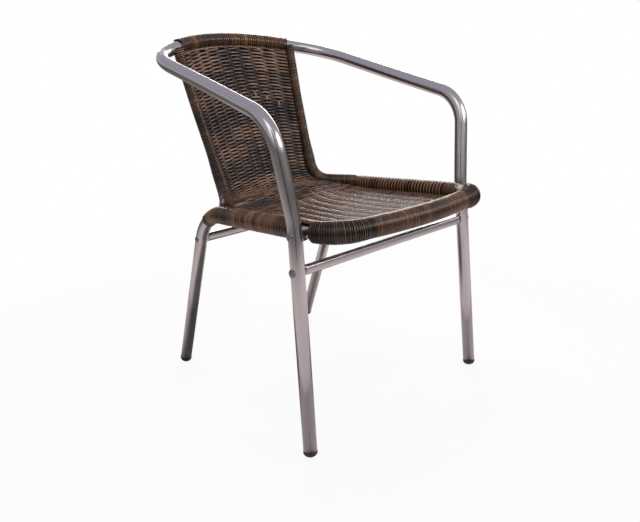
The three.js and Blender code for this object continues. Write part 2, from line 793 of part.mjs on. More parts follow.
function windingRings() {
  const total = TOP_WINDING_LOOPS * WINDING_STEPS;
  const inner = TUBE_RADIUS + WINDING_CLEARANCE;
  const crown = STRAND_THICKNESS * STRAND_CROWN_SHARE;
  const half = STRAND_WIDTH / 2;
  const margin = half + GAP;
  const places = Array.from({ length: total + 1 }, (_, i) =>
    placeAt(armPath, topFrom + margin + ((topTo - topFrom - 2 * margin) * i) / total),
  );
  return framesAlong(places).map(({ centre, along, side, other }, i) => {
    const turn = (2 * Math.PI * i) / WINDING_STEPS;
    const out = side.clone().multiplyScalar(Math.cos(turn)).addScaledVector(other, Math.sin(turn));
    const outline = [
      [half, 0],
      [half, STRAND_THICKNESS - crown],
      [0, STRAND_THICKNESS],
      [-half, STRAND_THICKNESS - crown],
      [-half, 0],
    ];
    return outline.map(([across, rise]) =>
      centre.clone().addScaledVector(along, across).addScaledVector(out, inner + rise),
    );
  });
}

// The least distance between one loop's edge and the next loop's, on points.
function leastGap(rings) {
  let least = Infinity;
  for (let i = 0; i + WINDING_STEPS < rings.length; i++) {
    const near = rings[i].slice(0, 2);
    const far = rings[i + WINDING_STEPS].slice(-2);
    for (const a of near) {
      for (const b of far) least = Math.min(least, a.distanceTo(b));
    }
  }
  return least;
}

const rings = windingRings();
console.log("top_winding least gap to itself " + leastGap(rings).toFixed(2) + " mm");

const chair = new THREE.Group();
chair.name = "bistro_chair";

function addOne(name, solid, look) {
  chair.add(meshOf(name, solid, look));
}

function addPair(name, solid, look) {
  const [left, right] = bothSides(solid);
  addOne(name + "_left", left, look);
  addOne(name + "_right", right, look);
}

addOne("arm_frame", armFrame(), ALUMINIUM);
addOne("seat_frame", seatFrame(), ALUMINIUM);
addPair("back_rail", backRail(), ALUMINIUM);
addOne("front_stretcher", stretcher(frontLegLow, armClearance), ALUMINIUM);
addOne("rear_stretcher", stretcher(rearLegLow, seatClearance), ALUMINIUM);
const frontInsert = stretcherInsert(frontLegLow, armClearance);
const rearInsert = stretcherInsert(rearLegLow, seatClearance);
addPair("front_stretcher_insert", frontInsert, BLACK_PLASTIC);
addPair("rear_stretcher_insert", rearInsert, BLACK_PLASTIC);
const seatBoltReach = frontLegSeat.x - railAtLeg.x;
const seatBolt = bolt(frontLegSeat, FRONT_HEAD_RADIUS, seatBoltReach);
const frontStretcherBolt = bolt(frontLegLow, FRONT_HEAD_RADIUS, STRETCHER_BOLT_REACH);
const rearStretcherBolt = bolt(rearLegLow, REAR_HEAD_RADIUS, STRETCHER_BOLT_REACH);
addPair("seat_bolt", seatBolt, STEEL);
addPair("front_stretcher_bolt", frontStretcherBolt, STEEL);
addPair("rear_stretcher_bolt", rearStretcherBolt, STEEL);
addPair("seat_spacer", seatSpacer(), BLACK_PLASTIC);
addPair("seat_insert", seatInsert(), STEEL);
addPair("front_foot_plug", footPlug(armCorners), BLACK_PLASTIC);
addPair("rear_foot_plug", footPlug(seatCorners), BLACK_PLASTIC);
addPair("side_rim", sideRim(), WICKER_DARK);
addOne("front_rim", frontRim(), WICKER_DARK);
addPair("back_rim", backRim(), WICKER_DARK);
const woven = wovenSheets();
addOne("back_weave", woven.back, WICKER);
addOne("seat_weave", woven.seat, WICKER);
addOne("top_winding", solidOfRings(rings, fanCap), WICKER_DARK);

// The part stands on the middle of its own footprint.
const reach = new THREE.Box3().setFromObject(chair);
chair.position.y = -(reach.min.y + reach.max.y) / 2;
console.log("moved by " + chair.position.y.toFixed(3) + " mm to stand centred in depth");

export default chair;
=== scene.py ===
import math
from typing import NamedTuple

import bmesh
import bpy
import numpy as np
from mathutils import Matrix, Vector


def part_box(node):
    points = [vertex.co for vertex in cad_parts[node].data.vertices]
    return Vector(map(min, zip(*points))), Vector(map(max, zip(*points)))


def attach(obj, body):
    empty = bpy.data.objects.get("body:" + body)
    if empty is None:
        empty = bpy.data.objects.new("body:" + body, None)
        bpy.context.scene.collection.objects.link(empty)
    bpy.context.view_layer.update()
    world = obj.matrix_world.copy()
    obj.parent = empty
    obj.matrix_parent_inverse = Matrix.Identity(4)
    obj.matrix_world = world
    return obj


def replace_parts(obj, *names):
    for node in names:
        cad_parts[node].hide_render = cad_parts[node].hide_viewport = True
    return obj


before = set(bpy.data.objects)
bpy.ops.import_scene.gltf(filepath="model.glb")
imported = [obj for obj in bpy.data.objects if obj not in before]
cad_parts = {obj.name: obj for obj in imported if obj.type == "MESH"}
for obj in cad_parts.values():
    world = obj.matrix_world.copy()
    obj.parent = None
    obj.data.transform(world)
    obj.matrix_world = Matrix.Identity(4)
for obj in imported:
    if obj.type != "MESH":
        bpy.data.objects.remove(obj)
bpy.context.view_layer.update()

# Lengths are in millimetres until a mesh is made. The sitter faces -Y and +X is the sitter's left.
MM = 0.001
SEED = 11
SIDES = (("left", 1), ("right", -1))

# Frame tubes; a tube's size is its radius, its wall and its number of sides
TUBE_RADIUS = 12.5
TUBE_SIZE = (TUBE_RADIUS, 1.5, 44)
BACK_RAIL_SIZE = (8.0, 1.2, 28)
FINEST_STEP = 4.0
LEAST_END_RUN = 0.5
FRONT_FOOT = (240.0, -230.0, 0.0)
KNEE = (225.0, -208.0, 415.0)
ARM_FRONT = (245.0, -192.0, 585.0)
ARM_MIDDLE = (233.0, -4.0, 637.0)
ARM_REAR = (226.0, 187.0, 690.0)
TOP_SHOULDER = (112.5, 264.0, 717.0)
TOP_MIDDLE = (0.0, 289.0, 727.0)
KNEE_TO_REAR_RADII = [180.0, 75.0, 600.0, 145.0]
TOP_RADIUS = 250.0
REAR_FOOT = (193.0, 279.0, 0.0)
SEAT_REAR = (193.0, 115.0, 388.0)
SEAT_FRONT = (196.5, -270.0, 403.0)
FRONT_RAIL_MIDDLE_Y = -300.0
SEAT_REAR_RADIUS = 105.0
SEAT_FRONT_RADIUS = 62.0
FRONT_RAIL_RADIUS = 700.0
BACK_CORNERS = [(148.0, 227.0, 707.0), (138.7, 197.8, 595.0), (122.7, 138.8, 403.5), (177.7, 59.6, 399.3)]
BACK_RADII = [205.0, 49.0]
BACK_TOP_X = BACK_CORNERS[0][0]
BENT_RUN_SHARE = 0.97

# Stretchers and fasteners
STRETCHER_HEIGHT = 18.0
STRETCHER_DEPTH = 12.0
STRETCHER_WALL = 1.5
STRETCHER_CORNER_STEPS = 14
STRETCHER_RINGS = 60
BOLT_SIDES = 48
FRONT_HEAD_RADIUS = 7.5
REAR_HEAD_RADIUS = 5.5
BOLT_RADIUS = 3.0
HEAD_HEIGHT = 2.8
HEAD_RIM = 0.7
HEAD_CHAMFER = 0.3
HEAD_STEPS = 8
HEAD_INSET = 1.4
SOCKET_RADIUS = 2.6
SOCKET_DEPTH = 2.2
SOCKET_CHAMFER = (1.12, 0.15)
SOCKET_TIP = (0.02, 0.4)

# Foot plugs
PLUG_RADIUS = 13.0
PLUG_FLANGE = 2.0
PLUG_DROP = 9.0
PLUG_SHANK_SIZE = (10.4, 18.0)
PLUG_SOLE_CUT = 0.8
PLUG_EDGE = 0.5
PLUG_SIDES = 56
PLUG_DOME_STEPS = 12
PLUG_TIP_RADIUS = 0.05
PLUG_SHANK_CHAMFER = 1.0

# Weave; a strand's size is its width and its thickness
ROW_PITCH = 3.9
STRAND_SIZE = (4.9, 3.1)
SEAT_STRAND_SIZE = (3.2, 1.9)
SEAT_STRAND_RUN = (30.0, 90.0)
STRAND_SIDES = 10
STRAND_SQUARENESS = 0.8
STAKE_COUNT = 10
SEAT_STAKE_COUNT = 12
STAKE_SPREAD = 50.0
STAKE_SHARE_LIMIT = 0.985
STAKE_SIZE = (14.0, 1.8)
FLOAT_SIZE = (6.5, 2.2)
FLOAT_TAIL = 4.0
WEFT_REACH = 2.3
SEAT_REACH = 3.3
WEFT_SHARPNESS = 0.75
# Painted highlight on a weft's bumps and painted shade where it dips behind a stake
BUMP_LIGHT_AND_SHADE = 0.24
# Painted sheen: the seat's strands are made lighter all over
SEAT_SHEEN_TONE = 0.34
SAMPLES_PER_STAKE = 10
EDGE_SHARE = 0.6
BACK_SETBACK = 3.0
BACK_LOW_BULGE_SHARE = 0.15
SEAT_LIFT = -8.0
SEAT_DIP = 9.0
COVE_RUN = 70.0
COVE_FLATNESS = 0.3
COVE_FLAT_REACH = (85.0, 35.0)
BACK_WRAP_END_X = 166.0
BACK_WEAVE_TOP_Z = 697.0
BACK_COVE_START_Z = 448.0
TOP_MARGIN = 8.0
WEFT_LENGTH = 330.0
STAKE_LENGTH = 800.0
SHEET_STEP = 2.0
ROW_WOBBLE = 0.5
REACH_RANGE = (0.9, 0.25)

# Strand finish
# GROOVE_EDGES and GROOVE_SHADE set the painted shade towards a strand's edges
GROOVE_EDGES = (0.55, 0.95)
GROOVE_SHADE = 0.2
STRAND_SPECULAR = 0.5
STRAND_GLOSS = (0.16, 0.32)
STRAND_SHADES = [
    (0.22, (0.012, 0.008, 0.008)),
    (0.45, (0.032, 0.021, 0.018)),
    (0.68, (0.062, 0.040, 0.030)),
    (0.88, (0.115, 0.070, 0.040)),
    (1.0, (0.190, 0.125, 0.085)),
]
FINE_STREAKS = (0.09, 7.0, 0.0)
FINE_SHARE = 0.3
RIB_STREAKS = (0.02, 14.0, 0.0)
RIB_BUMP = (0.35, 0.25)
PATCH_LENGTH = 260.0
STREAK_SIZE = (40.0, 7.0)
BROAD_SIZE = (90.0, 34.0)
TONE_CONTRAST = 1.5
TONE_SHIFT = -0.06

# Metal finish
DRAW_LINES = (0.012, 60.0, 1.0)
TUBE_COLOURS = [(0.3, (0.47, 0.445, 0.435)), (0.7, (0.55, 0.525, 0.515))]
TUBE_DULLING = ((0.35, 0.2), (0.62, 0.26))
TUBE_BUMP = (0.05, 0.05)

# Twined pair of strands under the top tube
TWINED_LENGTH = 3.5
TWINED_SIZE = (4.2, 3.0)
TWINED_REACH = 3.4
TWINED_SWAY = 1.5

# Eyelets: rows of the back part at a stake, which floats over the next rows to a second, smaller opening
EYELETS = ((2, 102.0), (3, 115.0), (4, 127.0), (6, 103.0), (7, 110.0), (8, 123.0))
EYELET_RUN = 19.0
EYELET_PARTS = (2.6, 1.5)
EYELET_HALF_WIDTH = 4.5
EYELET_FADE = 7.0
STAKE_FLOAT = 3.0
STAKE_FLOAT_EASE = (0.5, 6.0)

# Bindings
RIM_RADIUS = 18.5
REAR_RIM_RADIUS = 14.6
RIM_TAPER_RUN = 75.0
BACK_RIM_RADIUS = 11.0
BINDING_STEPS = 26
CORE_DEPTH_SHARE = 0.75
CORE_STEP = 6.0
CORE_SIDES = 24
LEG_BARE_HALF = 13.0
REAR_RIM_START_Z = 371.0
FRONT_JOIN_X = 128.0
JOIN_OVERLAP = 4.0
SIDE_RIM_OVERLAP = 3.0
TOP_WRAP_ENDS = (150.0, 139.0)
TOP_WRAP_CORE = 0.5
TOP_WRAP_SIDES = 40
TOP_WRAP_STEPS = 36


class Lay(NamedTuple):
    """How a strand is wound, what its tones are, and how much every second turn stands out."""

    pitch: float
    thickness: float
    cover: float
    loose: float
    contrast: float
    tone: float
    alternate: float


SIDE_LAYS = {
    "left": Lay(4.0, 2.2, 0.97, 0.12, 1.7, 0.74, 0.45),
    "right": Lay(3.9, 2.0, 0.95, 0.15, 1.1, 0.68, 0.12),
}
LOOP_LAY = Lay(3.3, 2.4, 0.93, 0.35, 1.4, 0.38, 0.12)
FRONT_LAY = Lay(3.4, 1.7, 0.97, 0.12, 0.7, 0.55, 0.0)
RAIL_LAY = Lay(3.9, 2.0, 0.95, 0.25, 1.0, 0.44, 0.05)
TOP_LAY = Lay(5.2, 2.4, 0.92, 0.2, 0.9, 0.52, 0.0)
ALTERNATE_LIFT = 1.0
# Painted light on every second, raised turn and painted shade on the low turns between
ALTERNATE_LIGHT_SHADE = 0.6
CORNER_SWELLS = (4.0, 1.5)
RIM_TAIL_RUN = 26.0
LOW_RAIL_SWELL = 3.5
LOW_RAIL_RUN = (-60.0, 10.0)
LOW_RAIL_TAPER = 5.5
LOW_RAIL_TAPER_RUN = 26.0
LEG_LOOP_PITCH = 4.3
LEG_LOOP_TURNS = (-50.0, 118.0)
WOUND_PATCH_LENGTH = 620.0
WOUND_STREAK_LENGTH = 95.0

# Camera, solved from the photograph
CAMERA_PLACE = (-839.1, -961.3, 661.9)
CAMERA_AZIMUTH = -41.33
CAMERA_DIP = 17.92
CAMERA_ROLL = -3.07
FOCAL_PIXELS = 618.9
PICTURE_WIDTH = 640
PICTURE_HEIGHT = 522
MIDDLE_PIXEL = (319.05, 264.6)

# Floor and studio
FLOOR_RADIUS = 14.0
FLOOR_COLOURS = [
    (0.0, (0.85, 0.77, 0.75)),
    (0.45, (0.58, 0.52, 0.50)),
    (0.6, (0.40, 0.36, 0.35)),
    (1.0, (0.07, 0.065, 0.06)),
]
FLOOR_WHITE_SHARE = 0.9
FLOOR_WHITE_FADE = (0.5, 1.5)
FLOOR_DARK_REACH = 2.2
SHADE_PLACE = (-0.05, 0.1, 0.0)
SHADE_REACH = (0.2, 0.36)
SHADE_COLOUR = (0.02, 0.018, 0.018, 1.0)
GLOSSY_SHARE = 0.12
DOME_TONES = [
    (0.0, (0.05, 0.05, 0.05)),
    (0.06, (0.12, 0.11, 0.11)),
    (0.14, (0.70, 0.68, 0.68)),
    (0.3, (0.42, 0.40, 0.50)),
    (1.0, (0.45, 0.44, 0.56)),
]
CARD_PLACE = (-0.94, -1.08, 0.85)
CARD_SIZE = (0.34, 1.66)
WHITE = (1, 1, 1, 1)


# Paths


def vector(values):
    return np.array(values, float)


def unit(v):
    return v / np.linalg.norm(v, axis=-1, keepdims=True)


def turned_about(v, axis, angle):
    c, s = math.cos(angle), math.sin(angle)
    return v * c + np.cross(axis, v) * s + axis * np.dot(axis, v) * (1 - c)


def bend_reaches(corners, radii, turns):
    """How far each bend reaches along its runs: less than its radius asks where a run is short."""
    wanted = radii * np.tan(turns / 2)
    ends = np.r_[0, wanted, 0]
    runs = np.linalg.norm(np.diff(corners, axis=0), axis=1) * BENT_RUN_SHARE
    room = np.minimum(1, runs / (ends[1:] + ends[:-1]))
    return wanted * np.minimum(room[:-1], room[1:])


def bent_path(corners, radii, finest=FINEST_STEP):
    """Straight runs through the corners, each corner rounded."""
    corners = vector(corners)
    runs = unit(np.diff(corners, axis=0))
    turns = np.arccos(np.clip(np.sum(runs[1:] * runs[:-1], axis=1), -1, 1))
    reaches = bend_reaches(corners, vector(radii), turns)
    path = [corners[0]]
    for before, corner, after, turn, reach in zip(corners, corners[1:], corners[2:], turns, reaches):
        back, ahead = unit(before - corner), unit(after - corner)
        radius = reach / math.tan(turn / 2)
        start = corner + back * reach
        centre = corner + unit(back + ahead) * radius / math.cos(turn / 2)
        axis = unit(np.cross(ahead, back))
        steps = max(2, round(radius * turn / finest))
        path += [centre + turned_about(start - centre, axis, turn * k / steps) for k in range(steps + 1)]
    path.append(corners[-1])
    return np.array(path)


def whole_path(half, radii, middle, middle_radius):
    """The corners of one half, the middle corner, and that half mirrored back."""
    other = [(-x, y, z) for x, y, z in reversed(half)]
    return bent_path([*half, middle, *other], [*radii, middle_radius, *reversed(radii)])


def lengths_along(path):
    return np.r_[0, np.cumsum(np.linalg.norm(np.diff(path, axis=0), axis=1))]


def length_of(path):
    return lengths_along(path)[-1]


def places_at(path, lengths):
    along = lengths_along(path)
    return np.stack([np.interp(lengths, along, path[:, k]) for k in range(3)], -1)


def length_where(path, axis, value, after=0.0):
    """The length along a path at which one coordinate first passes a value."""
    along = lengths_along(path)
    for i in range(1, len(path)):
        low, high = path[i - 1, axis], path[i, axis]
        if along[i] > after and low != high and (low - value) * (high - value) <= 0:
            return along[i - 1] + (value - low) / (high - low) * (along[i] - along[i - 1])
    raise ValueError("the path never reaches that place")


def slice_path(path, start, stop):
    along = lengths_along(path)
    inner = path[(along > start + LEAST_END_RUN) & (along < stop - LEAST_END_RUN)]
    return np.vstack([places_at(path, [start]), inner, places_at(path, [stop])])


def spaced(path, step):
    count = max(2, round(length_of(path) / step) + 1)
    return places_at(path, np.linspace(0, length_of(path), count))


def frames_along(path):
    """Tangent, side and out directions along a path, carried along without twist."""
    ahead = np.vstack([np.diff(path, axis=0), path[-1:] - path[-2:-1]])
    behind = np.vstack([ahead[:1], ahead[:-1]])
    along = unit(unit(ahead) + unit(behind))
    side = vector((1, 0, 0)) if abs(along[0, 0]) < math.sqrt(0.5) else vector((0, 0, 1))
    sides = []
    for direction in along:
        side = unit(side - direction * np.dot(direction, side))
        sides.append(side)
    sides = np.array(sides)
    return along, sides, np.cross(along, sides)


def place_where(path, axis, value):
    return places_at(path, [length_where(path, axis, value)])[0]


def box_of(node):
    low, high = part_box(node)
    return vector(low) / MM, vector(high) / MM


arm_corners = [FRONT_FOOT, KNEE, ARM_FRONT, ARM_MIDDLE, ARM_REAR, TOP_SHOULDER]
seat_corners = [REAR_FOOT, SEAT_REAR, SEAT_FRONT]
front_middle = (0.0, FRONT_RAIL_MIDDLE_Y, SEAT_FRONT[2])
arm_path = whole_path(arm_corners, [*KNEE_TO_REAR_RADII, TOP_RADIUS], TOP_MIDDLE, TOP_RADIUS)
seat_path = whole_path(seat_corners, [SEAT_REAR_RADIUS, SEAT_FRONT_RADIUS], front_middle, FRONT_RAIL_RADIUS)
back_path = bent_path(BACK_CORNERS, BACK_RADII)

# The chair's own centring shift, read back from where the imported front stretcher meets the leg
front_bar_middle = sum(box_of("front_stretcher")) / 2
SHIFT = vector((0, front_bar_middle[1] - place_where(arm_path, 2, front_bar_middle[2])[1], 0))
arm_path, seat_path, back_path = arm_path + SHIFT, seat_path + SHIFT, back_path + SHIFT


# Meshes


def new_object(name, data):
    made = bpy.data.objects.new(name, data)
    bpy.context.scene.collection.objects.link(made)
    return made


def new_piece(name, vertices, faces, material):
    mesh = bpy.data.meshes.new(name)
    mesh.from_pydata((vertices * MM).tolist(), [], faces)
    mesh.update()
    mesh.shade_smooth()
    piece = new_object(name, mesh)
    mesh.materials.append(material)
    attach(piece, "root")
    return piece


def add_attribute(piece, name, values):
    kind, field = ("FLOAT_VECTOR", "vector") if values.ndim == 2 else ("FLOAT", "value")
    attribute = piece.data.attributes.new(name, kind, "POINT")
    attribute.data.foreach_set(field, values.astype(np.float32).ravel())


def ring_faces(rings, count, offset=0, closed_ends=True):
    """Quads between successive rings of points, and a cap on each end."""
    faces = []
    for r in range(rings - 1):
        a = offset + r * count
        for k in range(count):
            n = (k + 1) % count
            faces.append((a + k, a + n, a + count + n, a + count + k))
    if closed_ends:
        faces.append(tuple(offset + k for k in reversed(range(count))))
        faces.append(tuple(offset + (rings - 1) * count + k for k in range(count)))
    return faces


def ring_points(centres, sides, outs, outline):
    """The outline set across a line of centres, one ring at each."""
    return centres[:, None] + sides[:, None] * outline[None, :, :1] + outs[:, None] * outline[None, :, 1:]


class Bundle:
    """Many swept strands gathered into one mesh, each with its own lengths and tones."""

    def __init__(self):
        self.vertices, self.faces, self.strand, self.tone, self.count = [], [], [], [], 0

    def sweep(self, centres, sides, outs, outline, start_length=0.0, tone=0.5, painted_shade=None):
        """Adds a strand, and keeps its length, the place around it and its painted shade: at its edges and on
        its set-back face.
        """
        rings, count = len(centres), len(outline)
        lengths = start_length + lengths_along(centres)
        # Painted shade: darker towards the strand's edges, for the grooves between strands, and on whichever
        # face a shade share marks as set back.
        shade_depth = np.abs(outline[:, 0]) / np.abs(outline[:, 0]).max()
        if painted_shade is not None:
            shade_depth = np.maximum(shade_depth, painted_shade[:, None] * np.sign(outline[:, 1]))
        strand = np.stack(np.broadcast_arrays(lengths[:, None], np.arange(count) / count, shade_depth), -1)
        self.faces += ring_faces(rings, count, self.count)
        self.vertices.append(ring_points(centres, sides, outs, outline).reshape(-1, 3))
        self.strand.append(strand.reshape(-1, 3))
        self.tone.append(np.repeat(np.broadcast_to(tone, rings), count))
        self.count += rings * count

    def lay(self, centres, normals, *how):
        """Sweeps a strand whose face is turned to the normals as far as its run lets it."""
        run = unit(np.gradient(centres, axis=0))
        outs = unit(normals - run * np.sum(normals * run, axis=1, keepdims=True))
        self.sweep(centres, np.cross(outs, run), outs, *how)

    def piece(self, name, material, slot):
        made = new_piece(name, np.vstack(self.vertices), self.faces, material)
        add_attribute(made, "strand", np.vstack(self.strand))
        add_attribute(made, "tone", np.concatenate(self.tone))
        return made


def full_turn(count):
    return 2 * math.pi * np.arange(count) / count


def circle(radius, sides):
    turn = full_turn(sides)
    return np.stack([radius * np.cos(turn), radius * np.sin(turn)], -1)


def strand_outline(width, thickness, sides=8):
    """A flat strand with rounded edges and a crowned face."""
    turn = 2 * math.pi * (np.arange(sides) + 0.5) / sides
    across, out = (np.sign(v) * np.abs(v) ** STRAND_SQUARENESS for v in (np.cos(turn), np.sin(turn)))
    return np.stack([across * width / 2, out * thickness / 2], -1)


# Tones


class Mottle:
    """Smooth seeded noise from 0 to 1 over a plane."""

    def __init__(self, rng, size=64):
        self.grid, self.size = rng.random((size, size)), size

    def __call__(self, x, y):
        x, y = np.broadcast_arrays(np.asarray(x, float), np.asarray(y, float))
        i, j = np.floor(x).astype(int), np.floor(y).astype(int)
        fx, fy = x - i, y - j
        fx, fy = fx * fx * (3 - 2 * fx), fy * fy * (3 - 2 * fy)
        n = self.size
        low = self.grid[i % n, j % n] * (1 - fx) + self.grid[(i + 1) % n, j % n] * fx
        high = self.grid[i % n, (j + 1) % n] * (1 - fx) + self.grid[(i + 1) % n, (j + 1) % n] * fx
        return low * (1 - fy) + high * fy


rng = np.random.default_rng(SEED)
mottle = Mottle(rng)
patches = Mottle(rng)
wobble = Mottle(rng)


# Materials


class Graph:
    """The nodes of a material or world, with short ways to add and link them."""

    def __init__(self, owner):
        owner.use_nodes = True
        self.owner, self.nodes, self.links = owner, owner.node_tree.nodes, owner.node_tree.links

    def put(self, node, socket, value):
        """Links a node's input to an output, or sets it to a plain value."""
        if isinstance(value, bpy.types.NodeSocket):
            self.links.new(value, node.inputs[socket])
        else:
            node.inputs[socket].default_value = value

    def add(self, kind, inputs=(), **settings):
        node = self.nodes.new(f"ShaderNode{kind}")
        for name, value in settings.items():
            setattr(node, name, value)
        for socket, value in dict(inputs).items():
            self.put(node, socket, value)
        return node

    def shade(self, **inputs):
        """Sets the surface shader's inputs; a name's underscores are its spaces."""
        for name, value in inputs.items():
            self.put(self.nodes["Principled BSDF"], name.replace("_", " "), value)

    def attribute(self, name):
        return self.add("Attribute", attribute_name=name).outputs

    def place(self):
        return self.add("TexCoord").outputs["Object"]

    def ramp(self, source, stops):
        node = self.add("ValToRGB", {"Fac": source})
        elements = node.color_ramp.elements
        while len(elements) < len(stops):
            elements.new(0.5)
        for element, (place, colour) in zip(elements, stops):
            element.position = place
            element.color = (*colour, 1)
        return node.outputs["Color"]

    def grey_ramp(self, source, *stops):
        return self.ramp(source, [(place, (value,) * 3) for place, value in stops])

    def noise(self, source, scale, detail=3.0):
        return self.add("TexNoise", {"Vector": source, "Scale": scale, "Detail": detail}).outputs["Fac"]

    def streaks(self, scale, detail=3.0):
        """Noise drawn out along a strand or tube."""
        inputs = {"Vector": self.attribute("strand")["Vector"], "Scale": scale}
        return self.noise(self.add("Mapping", inputs).outputs["Vector"], 1.0, detail)

    def scaled(self, source, factor, added=0.0):
        """A value times a factor, plus another value."""
        return self.add("Math", {0: source, 1: factor, 2: added}, operation="MULTIPLY_ADD").outputs[0]

    def product(self, first, second):
        return self.add("Math", {0: first, 1: second}, operation="MULTIPLY").outputs[0]

    def mix(self, share, first, second, blend="MIX"):
        inputs = {"Factor": share, "A": first, "B": second}
        return self.add("Mix", inputs, data_type="RGBA", blend_type=blend).outputs["Result"]

    def bump(self, height, strength, depth):
        inputs = {"Height": height, "Strength": strength, "Distance": depth * MM}
        return self.add("Bump", inputs).outputs["Normal"]


def wicker_material(name, brightness):
    """Glossy extruded strand in near-black, brown and golden olive, with fine lengthwise ribs, and painted
    shade, darker and less glossy, in its grooves and on its set-back faces.
    """
    graph = Graph(bpy.data.materials.new(name))
    fine = graph.streaks(FINE_STREAKS)
    shades = [(place, tuple(np.array(rgb) * brightness)) for place, rgb in STRAND_SHADES]
    colours = graph.ramp(graph.scaled(fine, FINE_SHARE, graph.attribute("tone")["Fac"]), shades)
    shade_depth = graph.add("SeparateXYZ", {0: graph.attribute("strand")["Vector"]}).outputs["Z"]
    # Painted shade: colour and gloss fall off towards the strand's edges and on its set-back faces.
    groove_shading = graph.grey_ramp(shade_depth, (GROOVE_EDGES[0], 1.0), (GROOVE_EDGES[1], GROOVE_SHADE))
    graph.shade(
        Base_Color=graph.mix(1.0, colours, groove_shading, "MULTIPLY"),
        Specular_IOR_Level=graph.scaled(groove_shading, STRAND_SPECULAR),
        Roughness=graph.grey_ramp(fine, (0.3, STRAND_GLOSS[0]), (0.7, STRAND_GLOSS[1])),
        Normal=graph.bump(graph.streaks(RIB_STREAKS, 2.0), *RIB_BUMP),
    )
    return graph.owner


def tube_material():
    """Polished aluminium tube: faint draw lines along it, and smudges that dull it in places."""
    graph = Graph(bpy.data.materials.new("polished_aluminium"))
    lines = graph.streaks(DRAW_LINES, 4.0)
    smudges = graph.noise(graph.place(), 22.0, 5.0)
    graph.shade(
        Metallic=1.0,
        Base_Color=graph.ramp(lines, TUBE_COLOURS),
        Roughness=graph.grey_ramp(smudges, *TUBE_DULLING),
        Normal=graph.bump(lines, *TUBE_BUMP),
    )
    return graph.owner


def plain_material(name, dark, light, metallic, rough, scale, depth):
    """Moulded plastic or plated steel: mottled colour and roughness, and a fine grain."""
    graph = Graph(bpy.data.materials.new(name))
    place = graph.place()
    wear = graph.noise(place, scale / 12)
    graph.shade(
        Metallic=metallic,
        Base_Color=graph.ramp(wear, [(0.35, dark), (0.7, light)]),
        Roughness=graph.grey_ramp(wear, (0.3, rough[0]), (0.7, rough[1])),
        Normal=graph.bump(graph.noise(place, scale, 4.0), 0.4, depth),
    )
    return graph.owner


WICKER = wicker_material("wicker_strand", (1.1, 0.98, 0.86))
BINDING = wicker_material("wicker_binding_strand", (1.1, 0.86, 0.5))
ALUMINIUM = tube_material()
STEEL = plain_material("plated_steel", (0.20, 0.19, 0.20), (0.30, 0.29, 0.30), 1.0, (0.3, 0.45), 900.0, 0.03)
blacks = (0.008, 0.008, 0.009), (0.02, 0.02, 0.021)
PLASTIC = plain_material("black_plastic", *blacks, 0.0, (0.42, 0.62), 1400.0, 0.05)


# Frame pieces


def tube_piece(name, node, path, radius, wall, sides):
    """An open tube with a wall: outer face, inner face and ring ends."""
    _, side, out = frames_along(path)
    inner, last = len(path) * sides, (len(path) - 1) * sides
    points = [ring_points(path, side, out, circle(r, sides)).reshape(-1, 3) for r in (radius, radius - wall)]
    faces = ring_faces(len(path), sides, closed_ends=False)
    faces += [face[::-1] for face in ring_faces(len(path), sides, inner, closed_ends=False)]
    for k in range(sides):
        n = (k + 1) % sides
        faces += [(n, k, inner + k, inner + n), (last + k, last + n, inner + last + n, inner + last + k)]
    piece = new_piece(name, np.vstack(points), faces, ALUMINIUM)
    around = np.abs(np.arange(sides) / sides * 2 - 1)
    lines = np.stack(np.broadcast_arrays(lengths_along(path)[:, None], around, 0.0), -1).reshape(-1, 3)
    add_attribute(piece, "strand", np.vstack([lines, lines]))
    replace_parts(piece, node)


def tube_end_height(foot, above):
    """Height of a leaning leg's tube end, so that its plug's cut sole lies on the floor."""
    rise = unit(vector(above) - vector(foot))
    lean = math.acos(rise[2])
    reach = math.hypot(PLUG_RADIUS * math.sin(lean), PLUG_DROP * math.cos(lean))
    return reach + PLUG_FLANGE * math.cos(lean) - PLUG_SOLE_CUT


def standing(path, foot, above):
    """The path cut off at both ends where its foot plugs sit."""
    start = length_where(path, 2, tube_end_height(foot, above))
    return slice_path(path, start, length_of(path) - start)


arm_tube_path = standing(arm_path, FRONT_FOOT, KNEE)
seat_tube_path = standing(seat_path, REAR_FOOT, SEAT_REAR)
tube_piece("arm_tube", "arm_frame", arm_tube_path, *TUBE_SIZE)
tube_piece("seat_tube", "seat_frame", seat_tube_path, *TUBE_SIZE)


def both_sides(path):
    return [(side_name, path * (flip, 1, 1)) for side_name, flip in SIDES]


rail_end = length_of(back_path) - TUBE_RADIUS
for side_name, path in both_sides(slice_path(back_path, 0.0, rail_end)):
    tube_piece(f"back_upright_{side_name}", f"back_rail_{side_name}", path, *BACK_RAIL_SIZE)


def oval(height, depth):
    """Flat sides joined by half rounds, as points across and up."""
    radius = depth / 2
    straight = height / 2 - radius
    turn = np.pi * np.arange(STRETCHER_CORNER_STEPS + 1) / STRETCHER_CORNER_STEPS
    top = np.stack([radius * np.cos(turn), straight + radius * np.sin(turn)], -1)
    return np.vstack([top, -top])


def stretcher_piece(name, node):
    """A flat oval tube between two legs, its ends inside the frame's own oval bar."""
    low, high = box_of(node)
    middle = (low + high) / 2
    xs = np.linspace(low[0] + STRETCHER_WALL, high[0] - STRETCHER_WALL, STRETCHER_RINGS)
    path = np.stack([xs, np.full_like(xs, middle[1]), np.full_like(xs, middle[2])], -1)
    ones = np.ones((len(xs), 1))
    back, up = ones * vector((0, -1, 0)), ones * vector((0, 0, 1))
    bundle = Bundle()
    bundle.sweep(path, back, up, oval(STRETCHER_HEIGHT, STRETCHER_DEPTH))
    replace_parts(bundle.piece(name, ALUMINIUM, "aluminium"), node)


stretcher_piece("front_bar", "front_stretcher")
stretcher_piece("rear_bar", "rear_stretcher")


def hexagon_radius(turn):
    sector = math.pi / 3
    return SOCKET_RADIUS * math.cos(sector / 2) / np.cos(turn % sector - sector / 2)


